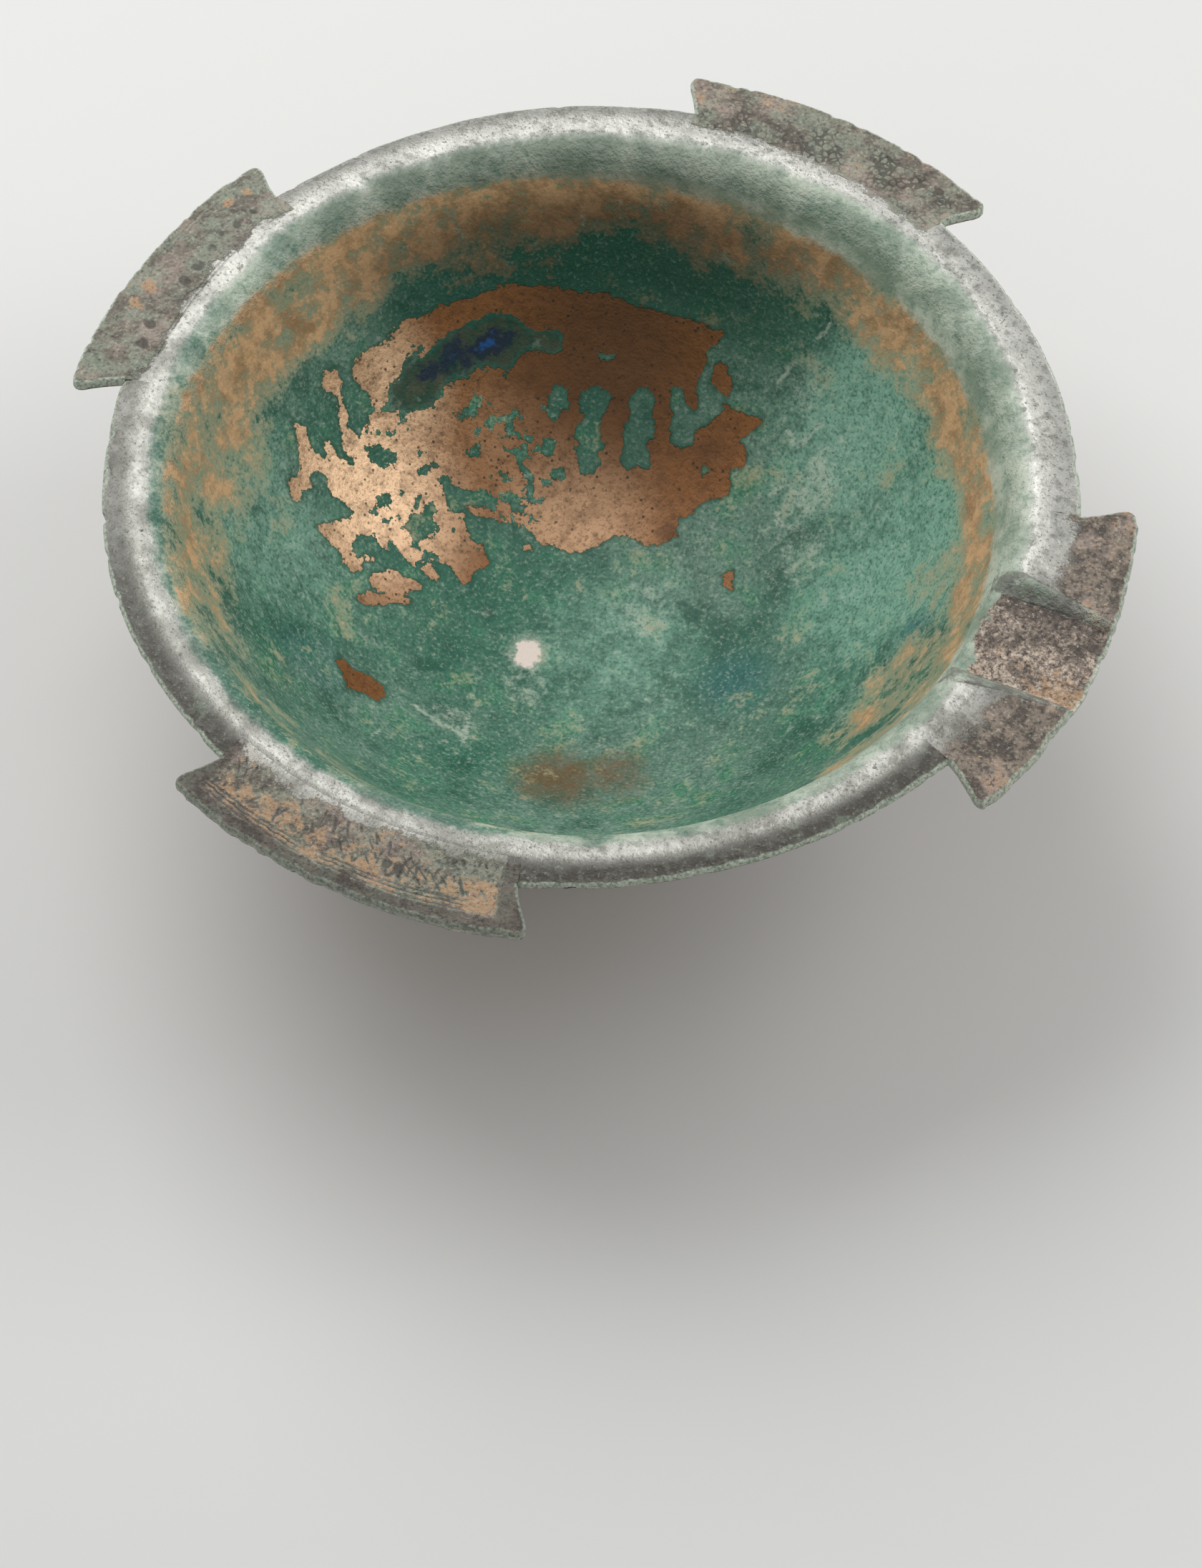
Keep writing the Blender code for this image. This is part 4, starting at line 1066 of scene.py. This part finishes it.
class BURNER_OT_rim(bpy.types.Operator):
    """Turns the rolled rim between its recesses and leaves the gap for the trough"""
    bl_idname = "burner.rim"
    bl_label = "Rim"

    def execute(self, context):
        shape = Shape(context.scene.burner_sizes)
        inward, outward, underneath = shape.rim_section()
        whole = np.concatenate([inward, outward, underneath])
        recessed = np.concatenate([inward, underneath])
        bm = bmesh.new()
        stop = radians(LUGS["spout_lug"][1] / 2)
        self.run(bm, recessed, radians(TONGUE_HALF), stop)
        for middle, span in [*list(LUGS.values())[1:], (360.0, LUGS["spout_lug"][1])]:
            notch = radians(middle - span / 2)
            leave = radians(min(middle + span / 2, 360.0 - TONGUE_HALF))
            self.run(bm, whole, stop, notch)
            self.run(bm, recessed, notch, leave)
            stop = leave
        mesh = capped_mesh("rim", bm)
        self.weather(mesh, shape)
        dress(mesh, "rim", rubbed_bronze, earthy_crust)
        return {"FINISHED"}

    def run(self, bm, section, start, end):
        steps = max(2, round((end - start) / (2 * pi) * RIM_STEPS))
        spin(bm, section, start, end, steps, closed=True)

    def weather(self, mesh, shape):
        """Wears the edge and writes what the finish needs."""
        true = read_places(mesh)
        sizes = shape.sizes
        radius, angle = polar(true)
        outer = smooth(sizes.recess_radius, sizes.rim_radius, radius)
        flaked = hump(angle, FLAKED_SIDE, 13)
        chips = np.minimum(0.0, grain(true, 0.0045, 3) + 0.15) * (0.9 + 1.6 * flaked) * MM
        away = outer * (rim_swell(angle) + chips)
        rim_values(mesh, shape, true, sizes.rim_radius - radius)
        write_values(mesh, **dict.fromkeys(LUG_VALUES, 0.0))
        outwards = true * (1, 1, 0) / radius[:, None]
        write_places(mesh, uneven(true) + outwards * away[:, None])


def groove(gap, width):
    """Depth of an engraved line by the distance from its middle."""
    return np.exp(-(gap / width) ** 2)


def within(value, low, high, soft=0.4):
    """1 between two limits, with soft ends."""
    return smooth(low - soft, low + soft, value) * smooth(high + soft, high - soft, value)


def lined_border(along, inset, ends, insets, width=0.26):
    """Engraved lines side by side along the outer edge."""
    lines = np.max([groove(inset - place, width) for place in insets], axis=0)
    return lines * within(along, *ends)


def dots(along, inset, pitch, middle, radius):
    """A row of soft round dots."""
    nearest = pitch * np.round(along / pitch)
    return smooth(1.2 * radius, 0.5 * radius, np.hypot(along - nearest, inset - middle))


def rings(along, inset, pitch, middle, radius):
    """A row of engraved rings."""
    nearest = pitch * np.round(along / pitch)
    return groove(np.hypot(along - nearest, inset - middle) - radius, 0.34)


def leaf_strokes(along, inset, places):
    """Broken strokes that lean both ways across each other, like worn leaves."""
    strokes = []
    for lean, pitch, seed in ((0.9, 2.3, 0.0), (-0.7, 2.9, 0.3), (0.25, 3.7, 0.6)):
        shaken = along + lean * (inset - 10.5) + 1.5 * grain(places + seed, 0.005, 2)
        stroke = groove(np.mod(shaken / pitch, 1.0) - 0.5, 0.17)
        strokes.append(stroke * smooth(0.0, 0.30, grain(places + seed, 0.0042, 2)))
    return np.max(strokes, axis=0)


def net(along, inset, wide, tall):
    """A net of engraved lines between worn islands of a width and a height."""
    gaps = []
    for x, y in zip(along / wide, inset / tall):
        near, far = noise.voronoi((x, y, 0.0))[0][:2]
        gaps.append(far - near)
    return smooth(0.34, 0.10, np.array(gaps))


def engraving(lug, places):
    """Depth from 0 to 1 of a lug's engraving."""
    along, inset, half = lug.along, lug.inset, lug.half_run
    worn = smooth(-0.25, 0.25, grain(places, 0.005, 3))
    shaken = along + 0.9 * grain(places, 0.007, 2)
    if lug.node == "right_lug":
        ends = (-half + 2.6, half - 4.0)
        lines = lined_border(along, inset, ends, (3.7, 4.8, 5.8))
        stops = np.max([groove(along - end, 0.3) for end in ends], axis=0) * within(inset, 4.0, 15.5)
        berries = dots(along, inset - 9.4, 3.2, 0.0, 1.5) * within(along, 7.0, 13.0)
        field = np.maximum(leaf_strokes(along, inset, places), berries) * within(along, *ends)
        return np.max([0.8 * lines, 0.85 * field * within(inset, 6.6, 15.4), 0.7 * stops], axis=0)
    if lug.node == "rear_lug":
        ends = (-half + 2.5, half - 9.0)
        lines = lined_border(along, inset, ends, (2.2, 3.2, 16.0, 16.8), 0.24)
        drift = 1.6 * grain(places, 0.010, 2)
        bosses = dots(shaken + drift, inset + drift, 5.6, 11.6, 1.9) * (0.25 + 0.75 * worn)
        circles = rings(shaken, inset, 6.4, 12.0, 2.8) * worn * within(inset, 8.6, 15.4)
        field = np.maximum(bosses, 0.45 * circles) * within(along, *ends)
        stop = groove(along - ends[1], 0.28) * within(inset, 2.9, 16.8)
        return np.max([0.7 * lines, 0.8 * field, 0.5 * stop], axis=0)
    ends = (-half + 1.5, half - 1.5)
    lines = lined_border(along, inset, ends, (2.6, 3.5), 0.22)
    field = net(shaken, inset, 2.0, 1.8) * within(along, *ends) * within(inset, 4.2, 16.0)
    return np.maximum(0.5 * lines, (0.60 + 0.35 * worn) * field)


class LugMap:
    """Maps a slab from -1 to 1 each way onto one lug.

    along and inset are in millimetres, from the lug's middle and from its outer edge. free is the
    distance to the nearest free edge.
    """

    def __init__(self, shape, node, slab):
        self.shape, self.sizes, self.node = shape, shape.sizes, node
        self.middle, self.span = (radians(value) for value in LUGS[node])
        self.top = slab[:, 2] > 0
        self.reach = self.sizes.lug_radius + (self.sizes.spout_reach if node == "spout_lug" else 0.0)
        out = 0.5 + 0.5 * slab[:, 1]
        radius = self.sizes.recess_radius + (self.reach - self.sizes.recess_radius) * out
        self.turned = slab[:, 0] * self.half(radius)
        angle = self.middle + self.turned
        rim = np.stack([self.reach * np.cos(angle), self.reach * np.sin(angle), 0 * angle], axis=1)
        wear = 0.45 * MM * grain(rim, 0.012, 3) + np.minimum(0.0, grain(rim, 0.0035, 3)) * 0.7 * MM
        self.radius = radius + wear * smooth(0.4, 1.0, out)
        edge = self.reach + wear - self.radius
        self.inset = (self.reach - radius) / MM
        self.along = self.turned * self.reach / MM
        self.half_run = self.span / 2 * self.reach / MM
        beside = (self.half(radius) - np.abs(self.turned)) * radius
        hooked = radius > self.sizes.rim_radius - 0.2 * MM
        self.free = np.minimum(edge, np.where(hooked, beside, 1.0))
        self.angle = angle

    def half(self, radius):
        """Half the lug's angle at a radius: straight at its root, then hooked out to a rounded tip."""
        sizes = self.sizes
        out = np.clip((radius - sizes.rim_radius) / (self.reach - sizes.rim_radius), 0.0, 1.0)
        half = self.span / 2 + sizes.tip_overhang / self.reach * out ** 1.3
        corner = np.clip(radius - self.reach + sizes.tip_rounding, 0.0, sizes.tip_rounding)
        cut = sizes.tip_rounding - np.sqrt(sizes.tip_rounding ** 2 - corner ** 2)
        return half - cut / radius

    def places(self):
        sizes = self.sizes
        out = (self.radius - sizes.recess_radius) / (self.reach - sizes.recess_radius)
        seam = np.interp(sizes.recess_radius, self.shape.fall[:, 0], self.shape.fall[:, 1])
        height = seam - sizes.lug_droop * np.clip(out, 0.0, 1.0)
        short = np.clip(sizes.edge_rounding - self.free, 0.0, sizes.edge_rounding)
        drop = sizes.edge_rounding - np.sqrt(sizes.edge_rounding ** 2 - short ** 2)
        height += np.where(self.top, -drop, drop - sizes.lug_thickness)
        across = [self.radius * np.cos(self.angle), self.radius * np.sin(self.angle)]
        return np.stack([*across, height], axis=1)


def lug_finish(mesh, lug, places, depth, trough, flank):
    """Writes what the shared finish needs on a lug."""
    warm, verdigris, soil, pale = LUG_LOOKS[lug.node]
    along, inset, half = lug.along, lug.inset, lug.half_run
    border = np.zeros(len(inset))
    if lug.node == "right_lug":
        border = np.max([smooth(4.0, 2.6, inset), smooth(half - 4.6, half - 3.2, along),
                         smooth(-half + 3.2, -half + 1.8, along)], axis=0)
    warm = warm * (1.0 - 0.5 * smooth(9.0, 14.0, inset)) * (1.0 - border)
    if lug.node == "rear_lug":
        wander = 3.0 * grain(places, 0.009, 2)
        faded = smooth(-0.15, 0.25, grain(places, 0.008, 2))
        warm = warm + 0.5 * faded * dots(along + wander, inset + 0.7 * wander, 6.1, 5.6, 1.9)
    rim_values(mesh, lug.shape, places, lug.free, pale, film=0.3)
    field_end = 10.5 if lug.node == "spout_lug" else 13.5
    field = smooth(18.5, field_end, inset + 2.0 * grain(places, 0.007, 4))
    lower = smooth(11.0, -9.0, along)
    # Crumbs lie towards the trough's lower side; the upper side gets painted shadow.
    crumbs = 0.14 + 0.30 * lower + 0.25 * lower * smooth(0.108, 0.118, lug.radius)
    write_values(mesh, field=field * (1.0 - flank) * lug.top, trough=trough, flank=flank, crumbs=crumbs,
                 engraved=np.maximum(depth, 0.65 * border) * lug.top, warm=warm * (1.0 - depth),
                 verdigris=verdigris, soil=np.maximum(soil, border), tip=0.0)


class BURNER_OT_lugs(bpy.types.Operator):
    """Shapes the three plain lugs and engraves them"""
    bl_idname = "burner.lugs"
    bl_label = "Engraved lugs"

    def execute(self, context):
        shape = Shape(context.scene.burner_sizes)
        for node in ("left_lug", "rear_lug", "right_lug"):
            mesh = plate(node, PLATE_COLUMNS, PLATE_ROWS)
            lug = LugMap(shape, node, read_places(mesh))
            places = lug.places()
            depth = engraving(lug, places)
            worn = smooth(-0.5, 0.3, grain(places, 0.011, 2) + 0.15)
            lug_finish(mesh, lug, places, depth * (0.35 + 0.65 * worn), trough=0.0, flank=0.0)
            grains = grain(places, 0.0016, 3) * 0.07 * MM * smooth(0.0, 1.0 * MM, lug.free)
            places = uneven(places)
            places[:, 2] += np.where(lug.top, grains - 0.26 * MM * depth * worn, grains)
            write_places(mesh, places)
            dress(mesh, node, rubbed_bronze, earthy_crust)
        return {"FINISHED"}


class BURNER_OT_spout(bpy.types.Operator):
    """Shapes the spout lug with its tongue through the rim and sinks the trough"""
    bl_idname = "burner.spout"
    bl_label = "Spout lug"

    def execute(self, context):
        shape = Shape(context.scene.burner_sizes)
        lug_mesh = plate("spout_lug", PLATE_COLUMNS, PLATE_ROWS)
        lug = LugMap(shape, "spout_lug", read_places(lug_mesh))
        places = lug.places()
        trough, flank = cut_trough(shape, places, lug.top)
        lug_finish(lug_mesh, lug, places, np.zeros(len(places)), trough, flank)
        grains = grain(places, 0.0024, 3) * 0.14 * MM * smooth(0.0, 1.0 * MM, lug.free)
        places = uneven(places)
        places[:, 2] += grains
        write_places(lug_mesh, places)

        tongue_mesh = self.tongue(shape)
        bm = bmesh.new()
        bm.from_mesh(lug_mesh)
        bm.from_mesh(tongue_mesh)
        bm.to_mesh(lug_mesh)
        bm.free()
        bpy.data.meshes.remove(tongue_mesh)
        dress(lug_mesh, "spout_lug", rubbed_bronze, earthy_crust)
        return {"FINISHED"}

    def tongue(self, shape):
        """The part of the rim that the trough runs through."""
        inward, _, underneath = shape.rim_section()
        section = np.concatenate([inward, underneath])
        bm = bmesh.new()
        half = radians(TONGUE_HALF)
        spin(bm, section, -half, half, TONGUE_STEPS, closed=True)
        mesh = capped_mesh("tongue", bm)
        places = read_places(mesh)
        radius = polar(places)[0]
        low = np.interp(radius, shape.underside[::-1, 0], shape.underside[::-1, 1])
        top = (places[:, 2] > low + 0.4 * MM) | (radius < shape.sizes.mouth_radius - 0.5 * MM)
        seated = places[:, 2] < shape.sizes.seat_height + 0.05 * MM
        rest = places.copy()
        trough, flank = cut_trough(shape, places, top)
        places[seated] = rest[seated]
        rim_values(mesh, shape, places, EDGE_REACH * MM)
        # Crumbs and painted shadow across the tongue's trough, as on the lug.
        crumbs = 0.14 + 0.30 * smooth(11.0, -9.0, places[:, 1] / MM)
        blank = dict.fromkeys(LUG_VALUES, 0.0)
        write_values(mesh, **{**blank, "trough": trough, "flank": flank, "crumbs": crumbs})
        write_places(mesh, uneven(places))
        return mesh


class BURNER_OT_feet(bpy.types.Operator):
    """Shapes the three splayed feet"""
    bl_idname = "burner.feet"
    bl_label = "Feet"

    def execute(self, context):
        shape = Shape(context.scene.burner_sizes)
        for (node, twist), sole in zip(FOOT_TWISTS.items(), SOLES):
            bm = bmesh.new()
            bmesh.ops.create_cone(bm, cap_ends=True, cap_tris=True, segments=FOOT_SIDES,
                                  radius1=1.0, radius2=1.0, depth=1.0)
            upright = [edge for edge in bm.edges if abs(edge.verts[0].co.z - edge.verts[1].co.z) > 0.5]
            bmesh.ops.subdivide_edges(bm, edges=upright, cuts=FOOT_RINGS - 1, use_grid_fill=True)
            mesh = closed_mesh(node, bm)
            true = self.foot(shape, read_places(mesh), Vector(sole), radians(twist))
            write_values(mesh, tip=smooth(7 * MM, 1.5 * MM, true[:, 2]))
            pits = grain(true, 0.0035, 4) * 0.30 * MM + grain(true, 0.0012, 2) * 0.08 * MM
            middle = np.array(sole) * (1, 1, 0)
            away = (true - middle) * (1, 1, 0)
            away /= np.maximum(np.linalg.norm(away, axis=1), 0.1 * MM)[:, None]
            standing = smooth(0.2 * MM, 2.0 * MM, true[:, 2])
            write_places(mesh, true + away * (pits * standing)[:, None])
            dress(mesh, node, earthy_crust)
        return {"FINISHED"}

    def foot(self, shape, rod, sole, twist):
        """Maps a round rod onto a foot: a round back, a ridge outwards, a rounded tip and a flat sole."""
        sizes = shape.sizes
        share = (rod[:, 2] + 0.5) ** 1.3
        around = np.arctan2(rod[:, 1], rod[:, 0])
        full = np.hypot(rod[:, 0], rod[:, 1])
        root_height = shape.outside_height(sizes.foot_root_place) + 0.7 * sizes.wall
        height = share * root_height
        low = np.clip(1.0 - height / sizes.foot_tip_rounding, 0.0, 1.0)
        narrowing = 1.0 - (1.0 - sizes.sole_width / sizes.foot_tip_width) * low ** 2
        high = np.clip(1.0 - (root_height - height) / sizes.foot_flare_height, 0.0, 1.0)
        flare = high ** 2 * sizes.foot_flare

        def taper(tip, root):
            return (tip + (root - tip) * share) * narrowing + flare

        across = taper(sizes.foot_tip_width / 2, sizes.foot_root_width / 2) * np.sin(around) * full
        ridge = 0.4 * np.cos(around) + 0.6 * (1.0 - np.abs(np.sin(around)))
        front = taper(sizes.foot_tip_keel, sizes.foot_root_keel) * ridge
        back = taper(sizes.foot_tip_back, sizes.foot_root_back) * np.cos(around)
        outwards = np.where(np.cos(around) > 0, front, back) * full
        root = Vector((sizes.foot_root_place * cos(twist), sizes.foot_root_place * sin(twist)))
        along = sole.xy.length + (root.x - sole.xy.length) * share + outwards
        beside = root.y * share + across
        direction = sole.xy.normalized()
        x = along * direction.x - beside * direction.y
        y = along * direction.y + beside * direction.x
        ceiling = shape.outside_height(np.hypot(x, y)) + 0.5 * sizes.wall
        return np.stack([x, y, np.minimum(height, ceiling)], axis=1)


class BURNER_OT_stub(bpy.types.Operator):
    """Shapes the ground-down stub of the pouring gate"""
    bl_idname = "burner.stub"
    bl_label = "Gate stub"

    def execute(self, context):
        shape = Shape(context.scene.burner_sizes)
        sizes = shape.sizes
        bm = bmesh.new()
        bmesh.ops.create_icosphere(bm, subdivisions=5, radius=1.0)
        mesh = closed_mesh("gate_stub", bm)
        ball = read_places(mesh)
        middle = np.array([cos(sizes.stub_angle), sin(sizes.stub_angle), 0.0]) * sizes.stub_place
        level = shape.outside_height(sizes.stub_place)
        ball[:, :2] *= (1.0 + 0.12 * grain(ball, 0.9, 2))[:, None]
        flat = np.sign(ball[:, 2]) * np.abs(ball[:, 2]) ** 0.6
        places = middle + ball * (sizes.stub_radius, sizes.stub_radius, 0.0)
        slope = shape.outside_height(np.hypot(places[:, 0], places[:, 1])) - level
        places[:, 2] = level + slope + np.where(flat < 0, 1.25 * sizes.stub_height, 0.4 * sizes.wall) * flat
        places[:, 2] += grain(places, 0.002, 3) * 0.12 * MM
        write_values(mesh, tip=0.0)
        write_places(mesh, places)
        dress(mesh, "gate_stub", earthy_crust)
        return {"FINISHED"}


def looking_back(turned, rise):
    """The way from the burner to a camera or lamp that is turned round it and raised."""
    return Vector((sin(turned) * cos(rise), -cos(turned) * cos(rise), sin(rise)))


class BURNER_OT_stage(bpy.types.Operator):
    """Sets up the floor, the lamps and the camera"""
    bl_idname = "burner.stage"
    bl_label = "Stage"

    def execute(self, context):
        scene = context.scene
        self.lay_floor(scene)
        stage = scene.burner_stage
        aim = Vector((0, 0, scene.burner_sizes.rim_height / 2))
        for name, (width, distance, round_from, rise) in LAMPS.items():
            back = looking_back(stage.camera_turn + radians(round_from), radians(rise))
            watts = getattr(stage, name + "_power")
            self.hang_lamp(scene, name + "_lamp", watts, width, aim, back * distance)
        self.light_air(scene, stage.air)
        self.place_camera(scene, stage)
        scene.view_settings.view_transform = "Standard"
        return {"FINISHED"}

    def lay_floor(self, scene):
        bm = bmesh.new()
        bmesh.ops.create_grid(bm, x_segments=1, y_segments=1, size=FLOOR_HALF)
        floor = bpy.data.objects.new("floor", closed_mesh("floor", bm))
        scene.collection.objects.link(floor)
        finish = Finish("pale_floor")
        finish.shade("Base Color", scene.burner_colours.floor)
        finish.shade("Roughness", 0.6)
        floor.data.materials.append(finish.material)

    def hang_lamp(self, scene, name, watts, width, aim, back):
        """A soft square lamp that stands back from the burner and looks at it."""
        lamp = bpy.data.lights.new(name, "AREA")
        lamp.energy = watts
        lamp.size = width
        hung = bpy.data.objects.new(name, lamp)
        hung.location = aim + back
        hung.rotation_euler = (-back).to_track_quat("-Z", "Y").to_euler()
        scene.collection.objects.link(hung)

    def light_air(self, scene, strength):
        """Even light from all round, which the camera and shiny metal see as a pale room."""
        world = bpy.data.worlds.new("studio_air")
        world.use_nodes = True
        nodes, links = world.node_tree.nodes, world.node_tree.links
        rays = nodes.new("ShaderNodeLightPath")
        seen = rays.outputs["Is Camera Ray"]
        for name in ("Is Glossy Ray", "Is Transmission Ray"):
            either = nodes.new("ShaderNodeMath")
            either.operation = "MAXIMUM"
            links.new(seen, either.inputs[0])
            links.new(rays.outputs[name], either.inputs[1])
            seen = either.outputs["Value"]
        level = nodes.new("ShaderNodeMapRange")
        links.new(seen, level.inputs["Value"])
        level.inputs["To Min"].default_value = strength
        level.inputs["To Max"].default_value = ROOM_GLOW
        links.new(level.outputs["Result"], nodes["Background"].inputs["Strength"])
        nodes["Background"].inputs["Color"].default_value = (1, 1, 1, 1)
        scene.world = world

    def place_camera(self, scene, stage):
        data = bpy.data.cameras.new("camera")
        data.lens = stage.camera_lens
        data.clip_end = 20.0
        camera = bpy.data.objects.new("camera", data)
        turned, lean = stage.camera_turn, stage.camera_roll
        back = looking_back(turned, stage.camera_rise)
        right = Vector((cos(turned), sin(turned), 0.0))
        up = back.cross(right)
        axes = (right * cos(lean) + up * sin(lean), up * cos(lean) - right * sin(lean), back)
        camera.matrix_world = Matrix.LocRotScale(stage.camera_place, Matrix(axes).transposed(), None)
        scene.collection.objects.link(camera)
        scene.camera = camera


class BURNER_PT_panel(bpy.types.Panel):
    """Lists the burner's pieces and sizes"""
    bl_idname = "BURNER_PT_panel"
    bl_label = "Tripod burner"
    bl_space_type = "VIEW_3D"
    bl_region_type = "UI"
    bl_category = "Burner"

    def draw(self, context):
        for operator in OPERATORS:
            self.layout.operator(operator.bl_idname)
        for group in ("burner_sizes", "burner_colours", "burner_stage"):
            values = getattr(context.scene, group)
            box = self.layout.box()
            for name in values.bl_rna.properties.keys():
                if name not in ("rna_type", "name"):
                    box.prop(values, name)


OPERATORS = (
    BURNER_OT_basin,
    BURNER_OT_rim,
    BURNER_OT_lugs,
    BURNER_OT_spout,
    BURNER_OT_feet,
    BURNER_OT_stub,
    BURNER_OT_stage,
)
CLASSES = (BurnerSizes, BurnerColours, BurnerStage, *OPERATORS, BURNER_PT_panel)


def register():
    for entry in CLASSES:
        bpy.utils.register_class(entry)
    bpy.types.Scene.burner_sizes = PointerProperty(type=BurnerSizes)
    bpy.types.Scene.burner_colours = PointerProperty(type=BurnerColours)
    bpy.types.Scene.burner_stage = PointerProperty(type=BurnerStage)


def unregister():
    for group in ("burner_sizes", "burner_colours", "burner_stage"):
        delattr(bpy.types.Scene, group)
    for entry in reversed(CLASSES):
        bpy.utils.unregister_class(entry)


def main():
    register()
    for operator in OPERATORS:
        group, name = operator.bl_idname.split(".")
        getattr(getattr(bpy.ops, group), name)()


if __name__ == "__main__":
    main()
